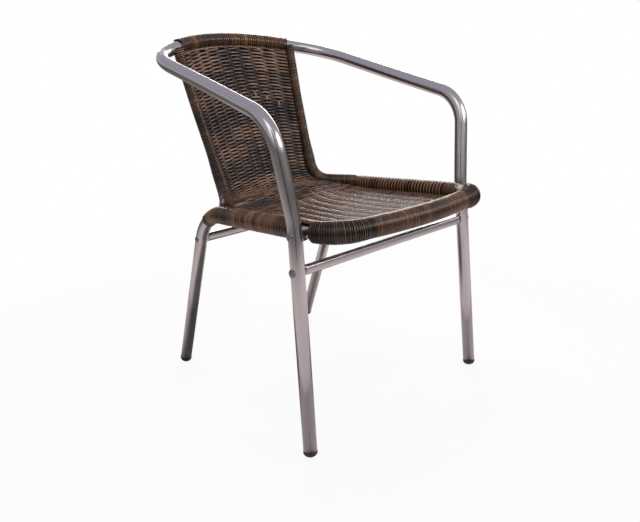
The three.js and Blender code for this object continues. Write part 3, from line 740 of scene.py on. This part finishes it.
def bolt_rings(head_radius, shank, turn):
    """Radii and heights from the shank's tip, over the button head and down into its socket."""
    profile = [(0.0, -shank), (BOLT_RADIUS, -shank), (BOLT_RADIUS, 0), (head_radius - HEAD_CHAMFER, 0)]
    for a in np.linspace(0, math.pi / 2, HEAD_STEPS)[:-1]:
        reach = head_radius * math.cos(a) + SOCKET_RADIUS * (1 - math.cos(a))
        profile.append((reach, HEAD_RIM + (HEAD_HEIGHT - HEAD_RIM) * math.sin(a)))
    hexagon = hexagon_radius(turn)
    rings = [(np.full_like(turn, radius), height) for radius, height in profile]
    rings += [(hexagon * SOCKET_CHAMFER[0], HEAD_HEIGHT), (hexagon, HEAD_HEIGHT - SOCKET_CHAMFER[1])]
    bottom = HEAD_HEIGHT - SOCKET_DEPTH
    return rings + [(hexagon, bottom), (hexagon * SOCKET_TIP[0], bottom - SOCKET_TIP[1])]


def bolt_piece(name, node, head_radius, outward):
    """A button head with a hexagon socket, on a plain shank, along X."""
    low, high = box_of(node)
    _, y, z = (low + high) / 2
    tip, top = (low[0], high[0]) if outward > 0 else (high[0], low[0])
    seat = top - outward * HEAD_INSET - outward * HEAD_HEIGHT
    turn = full_turn(BOLT_SIDES)
    points = []
    for radius, height in bolt_rings(head_radius, abs(seat - tip), turn):
        x = np.full_like(turn, seat + outward * height)
        points.append(np.stack([x, y + radius * np.cos(turn), z + outward * radius * np.sin(turn)], -1))
    piece = new_piece(name, np.vstack(points), ring_faces(len(points), BOLT_SIDES), STEEL)
    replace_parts(piece, node)


for side, outward in SIDES:
    bolt_piece(f"seat_screw_{side}", f"seat_bolt_{side}", FRONT_HEAD_RADIUS, outward)
    bolt_piece(f"front_bar_screw_{side}", f"front_stretcher_bolt_{side}", FRONT_HEAD_RADIUS, outward)
    bolt_piece(f"rear_bar_screw_{side}", f"rear_stretcher_bolt_{side}", REAR_HEAD_RADIUS, outward)


def plug_profile():
    """Radii and heights of a moulded plug, from the tip of its dome up to the top of its shank."""
    angles = np.linspace(math.pi / 2, 0, PLUG_DOME_STEPS)
    profile = [(PLUG_RADIUS * math.cos(a), -PLUG_FLANGE - PLUG_DROP * math.sin(a)) for a in angles]
    reach, top = PLUG_SHANK_SIZE
    profile += [(PLUG_RADIUS, -PLUG_EDGE), (PLUG_RADIUS - PLUG_EDGE, 0), (reach, 0)]
    profile += [(reach, top - PLUG_SHANK_CHAMFER), (reach - PLUG_SHANK_CHAMFER, top), (0, top)]
    return [(max(radius, PLUG_TIP_RADIUS), height) for radius, height in profile]


def cut_at_floor(mesh):
    """Takes off what lies below the floor and closes the cut."""
    shape = bmesh.new()
    shape.from_mesh(mesh)
    everything = shape.verts[:] + shape.edges[:] + shape.faces[:]
    cut = bmesh.ops.bisect_plane(shape, geom=everything, plane_no=(0, 0, 1), clear_inner=True)
    edges = [e for e in cut["geom_cut"] if isinstance(e, bmesh.types.BMEdge)]
    bmesh.ops.edgeloop_fill(shape, edges=edges)
    shape.to_mesh(mesh)
    shape.free()


def plug_piece(name, node, foot_end, above):
    """A moulded plug: shank in the tube, flange, and a dome cut flat where it stands."""
    up = unit(vector(above) - vector(foot_end))
    side = unit(np.cross(vector((0, 1, 0)), up))
    other = np.cross(up, side)
    turn = full_turn(PLUG_SIDES)
    round_about = np.cos(turn)[:, None] * side + np.sin(turn)[:, None] * other
    rings = [foot_end + up * height + radius * round_about for radius, height in plug_profile()]
    faces = ring_faces(len(rings), PLUG_SIDES)
    piece = new_piece(name, np.vstack(rings), faces, PLASTIC)
    cut_at_floor(piece.data)
    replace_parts(piece, node)


for foot, tube_path in (("front_foot", arm_tube_path), ("rear_foot", seat_tube_path)):
    for side_name, ends in both_sides(tube_path[:2]):
        plug_piece(f"{foot}_{side_name}", f"{foot}_plug_{side_name}", *ends)


# Woven sheet: the same surface as the solids', from the top tube down the back and on over the seat

arm_length = length_of(arm_path)
top_start = length_where(arm_path, 1, ARM_REAR[1] + SHIFT[1])
top_lengths = np.linspace(top_start, arm_length - top_start, 400)
top_places = places_at(arm_path, top_lengths)[::-1]


def top_tube_at(x):
    y, z = (np.interp(x, top_places[:, 0], top_places[:, k]) for k in (1, 2))
    return np.stack([x, y, z], -1)


def sheet_row(edge, bulge_share, bow, dip, shares):
    """A row between mirrored edge places, bulged like the top tube by a share."""
    corner = top_tube_at(vector([BACK_TOP_X]))[0]
    bulge = (top_tube_at(np.abs(shares) * BACK_TOP_X) - corner) * bulge_share
    middle = 1 - shares**2
    y = edge[1] + bulge[:, 1] + bow * middle
    z = edge[2] + bulge[:, 2] - dip * middle
    return np.stack([shares * edge[0], y, z], -1)


weave_top = length_where(back_path, 2, BACK_WEAVE_TOP_Z)
cove_start = length_where(back_path, 2, BACK_COVE_START_Z)
cove_end = length_where(back_path, 0, BACK_WRAP_END_X, cove_start)


def back_edge(length):
    edge, below = places_at(back_path, [length, length + 0.5])
    setback = unit(np.cross(vector((1, 0, 0)), below - edge))
    return edge + setback * BACK_SETBACK - vector((BACK_RIM_RADIUS * EDGE_SHARE, 0, 0))


def seat_edge(length):
    edge, ahead = places_at(seat_path, [length, length + 0.5])
    ahead = unit(ahead - edge)
    inset = RIM_RADIUS * EDGE_SHARE
    return edge + vector((ahead[1] * inset, -ahead[0] * inset, SEAT_LIFT))


def smoothstep(value, low, high):
    t = np.clip((value - low) / (high - low), 0, 1)
    return t * t * (3 - 2 * t)


back_lengths = np.arange(weave_top, cove_end, SHEET_STEP)


def bulge_share_at(length):
    return 1 - length / cove_end * (1 - BACK_LOW_BULGE_SHARE)


def sheet_rows(shares):
    """Rows of points down the back and along the seat, closely and unevenly spaced."""
    rows = [sheet_row(back_edge(length), bulge_share_at(length), 0, 0, shares) for length in back_lengths]
    first = back_edge(cove_end)
    start = length_where(seat_path, 1, first[1])
    corner = length_where(seat_path, 1, SEAT_FRONT[1] + SHIFT[1] + SEAT_FRONT_RADIUS, start)
    front = length_where(seat_path, 0, SEAT_FRONT[0] - SEAT_FRONT_RADIUS, corner)
    bow = FRONT_RAIL_MIDDLE_Y + SHIFT[1] - seat_edge(front)[1] + RIM_RADIUS * EDGE_SHARE
    for length in np.arange(start, front, SHEET_STEP):
        settled = smoothstep(length, start, start + COVE_RUN)
        edge = first + (seat_edge(length) - first) * settled
        turned = max(0, (length - corner) / (front - corner))
        dip = SEAT_DIP * math.sin(math.pi * (length - start) / (front - start))
        rows.append(sheet_row(edge, BACK_LOW_BULGE_SHARE * (1 - settled), bow * turned, dip, shares))
    return np.array(rows)


class Sheet:
    """The woven surface with evenly spaced lengths down it and shares across it."""

    def __init__(self, columns=241):
        self.shares = np.linspace(-1, 1, columns)
        rows = sheet_rows(self.shares)
        steps = np.linalg.norm(np.diff(rows, axis=0), axis=2)
        along = np.r_[0, np.cumsum(steps.mean(axis=1))]
        self.length = along[-1]
        self.lengths = np.arange(0, self.length, 1.0)
        flat = rows.reshape(len(rows), -1)
        even = np.stack([np.interp(self.lengths, along, flat[:, k]) for k in range(flat.shape[1])], -1)
        self.grid = even.reshape(len(self.lengths), columns, 3)
        self.normal = unit(np.cross(np.gradient(self.grid, axis=0), np.gradient(self.grid, axis=1)))
        self.seam = along[len(back_lengths)]
        widest = np.linalg.norm(np.diff(self.grid, axis=0), axis=2).max(axis=1)
        self.widest = np.r_[0, np.cumsum(widest)]

    def row_lengths(self, first, pitch):
        """Lengths of rows that lie a pitch apart where the sheet is at its longest."""
        return np.interp(np.arange(first, self.widest[-1], pitch), self.widest, self.lengths)

    def sample(self, values, lengths, shares):
        """Values of a grid at lengths and shares, by straight interpolation."""
        i = np.clip(lengths, 0, len(self.lengths) - 1.001)
        j = np.clip((shares + 1) / 2 * (len(self.shares) - 1), 0, len(self.shares) - 1.001)
        i0, j0 = i.astype(int), j.astype(int)
        fi, fj = (i - i0)[:, None], (j - j0)[:, None]
        low = values[i0, j0] * (1 - fi) + values[i0 + 1, j0] * fi
        high = values[i0, j0 + 1] * (1 - fi) + values[i0 + 1, j0 + 1] * fi
        return low * (1 - fj) + high * fj


sheet = Sheet()


def stake_share(number):
    return -1 + (2 * number + 1) / STAKE_COUNT


def parted(lengths, shares):
    """Lengths moved away from the eyelets, so that the rows there open round them."""
    moved = lengths.copy()
    for stake, first in EYELETS:
        near = np.exp(-(((shares - stake_share(stake)) * BACK_TOP_X / EYELET_HALF_WIDTH) ** 2))
        for length, part in zip((first, first + EYELET_RUN), EYELET_PARTS):
            gap = lengths - length
            moved += np.sign(gap) * part * near * np.exp(-np.abs(gap) / EYELET_FADE)
    return moved


def stake_float(lengths, first):
    """How far a stake stands in front of the sheet: over the rows between its two eyelets."""
    near, far = STAKE_FLOAT_EASE
    last = first + EYELET_RUN
    rise = smoothstep(lengths, first + near, first + far)
    return STAKE_FLOAT * (rise - smoothstep(lengths, last - far, last - near))


def past_seam(lengths, low, high):
    """From 0 to 1 between two lengths beyond the seam of back and seat."""
    return smoothstep(lengths, sheet.seam + low, sheet.seam + high)


def relief_at(length):
    """How far the strands sway: least round the cove and most on the seat."""
    far, near = COVE_FLAT_REACH
    into, out = past_seam(length, -far, -near), past_seam(length, near, far)
    return (WEFT_REACH + (SEAT_REACH - WEFT_REACH) * out) * (1 - COVE_FLATNESS * (into - out))


def stakes_across(lengths):
    """The seat has one more stake at each side than the back."""
    spread = past_seam(lengths, -STAKE_SPREAD, STAKE_SPREAD)
    return STAKE_COUNT + (SEAT_STAKE_COUNT - STAKE_COUNT) * spread


def weft_lines():
    shares = np.linspace(-1, 1, SEAT_STAKE_COUNT * SAMPLES_PER_STAKE + 1)
    for row, length in enumerate(sheet.row_lengths(TOP_MARGIN, ROW_PITCH)):
        lengths = np.full_like(shares, length)
        lengths += ROW_WOBBLE * (wobble(shares * 6 + 31 * row, row * 0.37) - 0.5)
        lengths = parted(lengths, shares)
        wave = np.sin(math.pi * shares * stakes_across(length) / 2) * (-1 if row % 2 else 1)
        reach = relief_at(length) * (REACH_RANGE[0] + REACH_RANGE[1] * wobble(shares * 5, row * 0.9 + 7))
        yield row, lengths, shares, reach * np.sign(wave) * np.abs(wave) ** WEFT_SHARPNESS


def twined_lines():
    """Two strands that cross between the stakes, one before and one behind each."""
    shares = np.linspace(-1, 1, STAKE_COUNT * SAMPLES_PER_STAKE * 2 + 1)
    phase = math.pi * ((shares + 1) / 2 * STAKE_COUNT - 0.5)
    for over in (1, -1):
        lengths = TWINED_LENGTH + over * TWINED_SWAY * np.sin(phase)
        yield lengths, shares, over * TWINED_REACH * np.cos(phase)


def weft_tone(points, lengths, row, shares, offset):
    """Long patches from the mixed strand, with painted highlight on the bumps, painted shade between them and
    a painted sheen over the seat.
    """
    run = row * WEFT_LENGTH + (shares if row % 2 else -shares) * WEFT_LENGTH / 2
    long_patch = patches(run / PATCH_LENGTH, row * 0.02)
    streak = mottle(points[:, 0] / STREAK_SIZE[0], lengths / STREAK_SIZE[1])
    broad = patches(points[:, 0] / BROAD_SIZE[0] + 9, lengths / BROAD_SIZE[1])
    tone = 0.3 * long_patch + 0.3 * streak + 0.4 * broad
    # Painted highlight on the bumps, painted shade where the strand dips, and a painted sheen over the seat
    painted_light_and_shade = BUMP_LIGHT_AND_SHADE * offset / WEFT_REACH + SEAT_SHEEN_TONE * past_seam(lengths, 0, COVE_RUN)
    return np.clip(0.5 + (tone - 0.5) * TONE_CONTRAST + TONE_SHIFT + painted_light_and_shade, 0, 1)


def lay_strand(bundle, lengths, shares, offset, *how):
    """Lays a flat strand over the sheet, at an offset from it."""
    normals = unit(sheet.sample(sheet.normal, lengths, shares))
    centres = sheet.sample(sheet.grid, lengths, shares) + normals * offset[:, None]
    bundle.lay(centres, normals, *how)


def weave_pieces():
    outline = strand_outline(*STRAND_SIZE, STRAND_SIDES)
    seat_outline = strand_outline(*SEAT_STRAND_SIZE, STRAND_SIDES)
    back, seat = Bundle(), Bundle()
    for row, lengths, shares, offset in weft_lines():
        bundle = back if lengths.mean() < sheet.seam else seat
        narrower = past_seam(lengths.mean(), *SEAT_STRAND_RUN)
        shape = outline + (seat_outline - outline) * narrower
        tone = weft_tone(sheet.sample(sheet.grid, lengths, shares), lengths, row, shares, offset)
        # Painted shade on the front of a strand where it dips behind a stake, and on its back where it
        # crosses over one
        painted_shade = -offset / WEFT_REACH
        lay_strand(bundle, lengths, shares, offset, shape, row * WEFT_LENGTH, tone, painted_shade)
    twined = strand_outline(*TWINED_SIZE, STRAND_SIDES)
    for number, (lengths, shares, offset) in enumerate(twined_lines()):
        tone = 0.6 + 0.35 * mottle(shares * 5, number * 7.3)
        lay_strand(back, lengths, shares, offset, twined, number * WEFT_LENGTH, tone)
    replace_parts(back.piece("back_wefts", WICKER, "wicker"), "back_weave")
    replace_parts(seat.piece("seat_wefts", WICKER, "wicker"), "seat_weave")


def stake_pieces():
    """Wide stakes inside the weave, near black as painted shade behind the gaps between rows, and the lengths
    of them that lie over it between two eyelets, painted lighter as they rise.
    """
    outline = strand_outline(*STAKE_SIZE)
    float_outline = strand_outline(*FLOAT_SIZE)
    stakes = Bundle()
    for number in range(SEAT_STAKE_COUNT):
        lengths = np.arange(0, sheet.length - 1, ROW_PITCH / 2)
        shares = (2 * number + 1 - SEAT_STAKE_COUNT) / stakes_across(lengths)
        lengths, shares = (values[np.abs(shares) < STAKE_SHARE_LIMIT] for values in (lengths, shares))
        # Near-black tone and shade over their whole front: painted shade, for stakes seen only between the
        # rows
        tone = 0.1 * mottle(lengths / 60, number * 1.7)
        flat, fully_shaded = np.zeros_like(lengths), np.ones_like(lengths)
        lay_strand(stakes, lengths, shares, flat, outline, number * STAKE_LENGTH, tone, fully_shaded)
    for number, first in EYELETS:
        lengths = np.arange(first - FLOAT_TAIL, first + EYELET_RUN + FLOAT_TAIL, 1.0)
        lift = stake_float(lengths, first)
        shares = np.full_like(lengths, stake_share(number))
        # Painted light as a float rises out of the weave, and painted shade where it sinks back in
        tone = 0.1 + 0.6 * lift / STAKE_FLOAT
        lay_strand(stakes, lengths, shares, lift, float_outline, first, tone, 1 - lift / STAKE_FLOAT)
    stakes.piece("stakes", WICKER, "wicker")


weave_pieces()
stake_pieces()


# Bindings: one strand wound closely round each rail, over a core whose near-black tone is painted shade
# between the turns


def turned_frames(path, lengths):
    """Places and directions along a path at many lengths, with no twist between them."""
    total = length_of(path)
    even = spaced(path, 1.0)
    at = lengths / total * (len(even) - 1)
    low = np.clip(at.astype(int), 0, len(even) - 2)
    share = (at - low)[:, None]
    directions = [unit(values[low] * (1 - share) + values[low + 1] * share) for values in frames_along(even)]
    return places_at(path, lengths), *directions


def hidden_angle(place, side, other):
    """Where on a rail the outer underside lies, so that high and low turns change over out of sight."""
    away = unit(unit(place * (1, 1, 0)) - (0, 0, 1))
    return math.atan2(np.dot(other, away), np.dot(side, away))


def wound_tone(reel, start_turn, lay, second):
    """Long patches and short streaks along the strand, painted light on the high turns and painted shade on
    the low turns.
    """
    patch = patches(reel / WOUND_PATCH_LENGTH, start_turn * 3 + 1)
    streak = mottle(reel / WOUND_STREAK_LENGTH, start_turn + 2)
    tone = 0.55 * patch + 0.45 * streak - 0.5
    return np.clip(lay.tone + tone * lay.contrast + ALTERNATE_LIGHT_SHADE * second, 0, 1)


def winding(bundle, path, radius_at, lay, start_turn=0.0, steps=BINDING_STEPS):
    """One strand wound closely round a path."""
    total = length_of(path)
    count = int((total - lay.pitch) / lay.pitch * steps)
    lengths = lay.pitch / 2 + (total - lay.pitch) * np.arange(count + 1) / count
    centre, along, side, other = turned_frames(path, lengths)
    turn = start_turn + 2 * math.pi * np.arange(count + 1) / steps
    out = side * np.cos(turn)[:, None] + other * np.sin(turn)[:, None]
    turns = turn / (2 * math.pi)
    hidden = hidden_angle(centre[count // 2], side[count // 2], other[count // 2])
    second = lay.alternate * np.tanh(4 * np.sin((turn - hidden) / 2))
    lift = lay.loose * (wobble(turns * 0.9, start_turn) - 0.5) + ALTERNATE_LIFT * second
    slip = lay.pitch * lay.loose * (wobble(turns * 0.8 + 5, start_turn + 3) - 0.5)
    reach = radius_at(lengths) - lay.thickness / 2 + lift
    centres = centre + out * reach[:, None] + along * slip[:, None]
    tone = wound_tone(lengths_along(centres), start_turn, lay, second)
    outline = strand_outline(lay.pitch * lay.cover, lay.thickness)
    # Painted shade on the outer face of the low turns
    bundle.lay(centres, out, outline, start_turn * 1000, tone, np.clip(-2 * second, 0, 1))


def core(bundle, path, radius_at, sides=CORE_SIDES):
    even = spaced(path, CORE_STEP)
    _, side, out = frames_along(even)
    radii = radius_at(lengths_along(even))[:, None]
    # Tone 0: the core is near black, painted shade seen in the gaps between turns
    bundle.sweep(even, side * radii, out * radii, circle(1, sides), 0.0, 0.0)


def even_radius(radius):
    return lambda lengths: np.full_like(lengths, radius)


def tapering_radius(lengths):
    """Slim at the rear end, where one layer of strand covers the tube."""
    return REAR_RIM_RADIUS + (RIM_RADIUS - REAR_RIM_RADIUS) * smoothstep(lengths, 0, RIM_TAPER_RUN)


def bound_rail(name, node, stretches, turn, loops=()):
    """A core in near-black painted shade and a winding along each stretch of a rail, and loops beside them.
    """
    bundle = Bundle()
    for number, (path, radius_at, lay) in enumerate(stretches):
        core(bundle, path, lambda lengths: radius_at(lengths) - lay.thickness * CORE_DEPTH_SHARE)
        winding(bundle, path, radius_at, lay, turn + number)
    for loop in loops:
        bundle.sweep(*loop)
    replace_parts(bundle.piece(name, BINDING, "wicker_binding"), node)


rail_at_leg = length_where(seat_path, 1, place_where(arm_path, 2, SEAT_FRONT[2])[1])
seat_length = length_of(seat_path)
side_rim_ends = length_where(seat_path, 2, REAR_RIM_START_Z), rail_at_leg - LEG_BARE_HALF + SIDE_RIM_OVERLAP
side_rim_path = slice_path(seat_path, *side_rim_ends)
back_rim_path = np.vstack([back_path, back_path[-1] + unit(back_path[-1] - back_path[-2]) * RIM_TAIL_RUN])


def leg_loops(flip):
    """Half loops over the top and inner face of the side rail where the leg bolts to it."""
    outline = strand_outline(LEG_LOOP_PITCH * LOOP_LAY.cover, LOOP_LAY.thickness)
    turn = np.linspace(*(math.radians(a) for a in LEG_LOOP_TURNS), 24)
    out = np.stack([-np.cos(turn), np.zeros_like(turn), np.sin(turn)], -1)
    starts = np.arange(rail_at_leg - LEG_BARE_HALF, rail_at_leg + LEG_BARE_HALF, LEG_LOOP_PITCH)
    for number, length in enumerate(starts):
        place = places_at(seat_path, [length + LEG_LOOP_PITCH / 2])[0]
        reach = RIM_RADIUS - LOOP_LAY.thickness / 2 + 0.6 * wobble(number * 0.7, 3.0)
        centres, outs = (places * (flip, 1, 1) for places in (place + out * reach, out))
        run = unit(np.gradient(centres, axis=0))
        tone = 0.35 + 0.5 * mottle(number * 0.8, 5.5)
        yield centres, np.cross(outs, run), outs, outline, number * WEFT_LENGTH, tone


for number, (side_name, flip) in enumerate(SIDES):
    stretch = (side_rim_path * (flip, 1, 1), tapering_radius, SIDE_LAYS[side_name])
    bound_rail(f"side_binding_{side_name}", f"side_rim_{side_name}", [stretch], 0.7 + number, leg_loops(flip))


def back_rim_radius(lengths):
    """Thicker low down, where the weave crowds round the rail, and thin where it runs into the side rim."""
    swell = LOW_RAIL_SWELL * smoothstep(lengths, cove_start + LOW_RAIL_RUN[0], cove_start + LOW_RAIL_RUN[1])
    end = length_of(back_rim_path)
    return BACK_RIM_RADIUS + swell - LOW_RAIL_TAPER * smoothstep(lengths, end - LOW_RAIL_TAPER_RUN, end)


for number, (side_name, path) in enumerate(both_sides(back_rim_path)):
    stretch = (path, back_rim_radius, RAIL_LAY)
    bound_rail(f"back_binding_{side_name}", f"back_rim_{side_name}", [stretch], 2.7 + number)


def swollen_radius(path, swell):
    """Thicker where the loops crowd round the corner."""
    total = length_of(path)
    return lambda lengths: RIM_RADIUS + swell * np.sin(math.pi * np.clip(lengths / total, 0, 1)) ** 2


def front_stretches():
    """Loops of the weave from the leg to past the corner, and a tight binding between."""
    first = rail_at_leg + LEG_BARE_HALF
    join = length_where(seat_path, 0, FRONT_JOIN_X, first)
    over = join + JOIN_OVERLAP
    left = slice_path(seat_path, first, over)
    right = slice_path(seat_path, seat_length - over, seat_length - first)
    middle = slice_path(seat_path, join, seat_length - join)
    return [
        (left, swollen_radius(left, CORNER_SWELLS[0]), LOOP_LAY),
        (middle, even_radius(RIM_RADIUS), FRONT_LAY),
        (right, swollen_radius(right, CORNER_SWELLS[1]), LOOP_LAY),
    ]


bound_rail("front_binding", "front_rim", front_stretches(), 4.9)


def top_wrap():
    left, right = (length_where(arm_path, 0, x, top_start) for x in TOP_WRAP_ENDS)
    path = slice_path(arm_path, left, arm_length - right)
    bundle = Bundle()
    inner = TUBE_RADIUS + TOP_WRAP_CORE
    core(bundle, path, even_radius(inner), TOP_WRAP_SIDES)
    winding(bundle, path, even_radius(inner + TOP_LAY.thickness), TOP_LAY, 6.1, TOP_WRAP_STEPS)
    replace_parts(bundle.piece("top_wrap", BINDING, "wicker_binding"), "top_winding")


top_wrap()

# Carried-over solids keep their shape and get the same finishes
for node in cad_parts.values():
    node.data.materials.clear()
    node.data.materials.append(STEEL if "seat_insert" in node.name else PLASTIC)


# Floor, light and camera


def seen_share(graph, straight, glossy):
    """How much of the white studio a ray meets, seen straight or mirrored."""
    path = graph.add("LightPath").outputs
    share = graph.scaled(path["Is Camera Ray"], straight)
    share = graph.scaled(path["Is Transmission Ray"], straight, share)
    return graph.scaled(path["Is Glossy Ray"], glossy, share)


def blended(graph, share, plain, white):
    return graph.add("MixShader", {0: share, 1: plain, 2: white}).outputs[0]


def faded(graph, source, low, high):
    """From 0 to 1 as a value goes from low to high, with soft ends."""
    inputs = {"Value": source, "From Min": low, "From Max": high}
    return graph.add("MapRange", inputs, interpolation_type="SMOOTHSTEP").outputs["Result"]


def under_chair_shade(graph, colour):
    """The floor's colour, but near-black below the chair where only metal mirrors it."""
    aside = graph.add("VectorMath", {0: graph.place(), 1: SHADE_PLACE}, operation="DISTANCE").outputs["Value"]
    near = faded(graph, aside, SHADE_REACH[1], SHADE_REACH[0])
    near = graph.product(near, graph.add("LightPath").outputs["Is Glossy Ray"])
    return graph.mix(near, colour, SHADE_COLOUR)


def floor_material():
    graph = Graph(bpy.data.materials.new("pale_floor"))
    distance = graph.add("VectorMath", {0: graph.place()}, operation="LENGTH").outputs["Value"]
    colours = graph.ramp(graph.scaled(distance, 1 / FLOOR_DARK_REACH), FLOOR_COLOURS)
    graph.shade(Base_Color=under_chair_shade(graph, colours), Roughness=0.8, Specular_IOR_Level=0.1)
    plain = graph.nodes["Principled BSDF"].outputs[0]
    white = graph.add("Emission", {"Color": WHITE}).outputs[0]
    near = blended(graph, seen_share(graph, FLOOR_WHITE_SHARE, GLOSSY_SHARE), plain, white)
    far_share = graph.product(faded(graph, distance, *FLOOR_WHITE_FADE), seen_share(graph, 1.0, 0.0))
    graph.put(graph.nodes["Material Output"], "Surface", blended(graph, far_share, near, white))
    return graph.owner


def add_floor():
    """A pale floor: white to the camera but for a faint shadow, and dark where only metal mirrors it."""
    bpy.ops.mesh.primitive_circle_add(vertices=96, radius=FLOOR_RADIUS, fill_type="NGON")
    floor = bpy.context.object
    floor.name = "floor"
    floor.data.materials.append(floor_material())


def add_card():
    """A dark card behind the camera, for the thin dark line that the front legs mirror."""
    bpy.ops.mesh.primitive_plane_add(size=1.0, location=CARD_PLACE)
    card = bpy.context.object
    card.name = "dark_card"
    card.scale = (*CARD_SIZE, 1)
    card.rotation_euler = (math.radians(90), 0, math.radians(CAMERA_AZIMUTH))
    darks = (0.02, 0.02, 0.02), (0.03, 0.03, 0.03)
    card.data.materials.append(plain_material("dark_cloth", *darks, 0.0, (0.9, 0.95), 40.0, 0.5))
    card.visible_camera = card.visible_shadow = card.visible_diffuse = False


def add_world():
    """A soft studio dome, darker near the horizon, white where the camera sees it."""
    world = bpy.data.worlds.new("studio")
    bpy.context.scene.world = world
    graph = Graph(world)
    direction = graph.add("TexCoord").outputs["Generated"]
    height = graph.add("SeparateXYZ", {0: direction}).outputs["Z"]
    plain = graph.nodes["Background"]
    graph.put(plain, "Color", graph.ramp(height, DOME_TONES))
    white = graph.add("Background", {"Color": WHITE}).outputs[0]
    share = seen_share(graph, 1.0, GLOSSY_SHARE)
    graph.put(graph.nodes["World Output"], "Surface", blended(graph, share, plain.outputs[0], white))


def add_light(name, place, target, size, power, colour=(1, 1, 1), mirrored_in_metal=True):
    data = bpy.data.lights.new(name, "AREA")
    data.shape, (data.size, data.size_y) = "RECTANGLE", size
    data.energy, data.color = power, colour
    light = new_object(name, data)
    light.location = place
    light.visible_glossy = mirrored_in_metal
    light.rotation_euler = (Vector(target) - Vector(place)).to_track_quat("-Z", "Y").to_euler()


def camera_directions():
    """Right, up and forward of the solved camera."""
    azimuth, dip, roll = (math.radians(a) for a in (CAMERA_AZIMUTH, CAMERA_DIP, CAMERA_ROLL))
    forward = Vector((-math.sin(azimuth) * math.cos(dip), math.cos(azimuth) * math.cos(dip), -math.sin(dip)))
    level = Vector((math.cos(azimuth), math.sin(azimuth), 0))
    above = level.cross(forward)
    right = level * math.cos(roll) + above * math.sin(roll)
    return right, above * math.cos(roll) - level * math.sin(roll), forward


def add_camera():
    data = bpy.data.cameras.new("camera")
    camera = new_object("camera", data)
    right, up, forward = camera_directions()
    place = (vector(CAMERA_PLACE) + SHIFT) * MM
    camera.matrix_world = Matrix((*zip(right, up, -forward, place), (0, 0, 0, 1)))
    data.sensor_fit = "HORIZONTAL"
    data.lens = FOCAL_PIXELS * data.sensor_width / PICTURE_WIDTH
    data.shift_x = (PICTURE_WIDTH / 2 - MIDDLE_PIXEL[0]) / PICTURE_WIDTH
    data.shift_y = (MIDDLE_PIXEL[1] - PICTURE_HEIGHT / 2) / PICTURE_WIDTH
    data.clip_end = 100
    bpy.context.scene.camera = camera


add_floor()
add_card()
add_world()
add_light("key", (-2.4, -2.2, 3.0), (0, 0, 0.45), (2.6, 2.6), 32)
add_light("window", (1.15, -2.35, 1.75), (0, 0, 0.5), (2.1, 1.0), 44, (1, 0.95, 0.96))
add_light("rear", (1.8, 2.15, 1.2), (0, 0, 0.45), (2.4, 0.9), 54, (1, 0.94, 0.91))
add_light("top", (0.2, 0.6, 2.5), (0, 0.05, 0.45), (1.5, 1.0), 26, (1, 0.94, 0.91), False)
add_camera()
bpy.context.scene.view_settings.view_transform = "Standard"
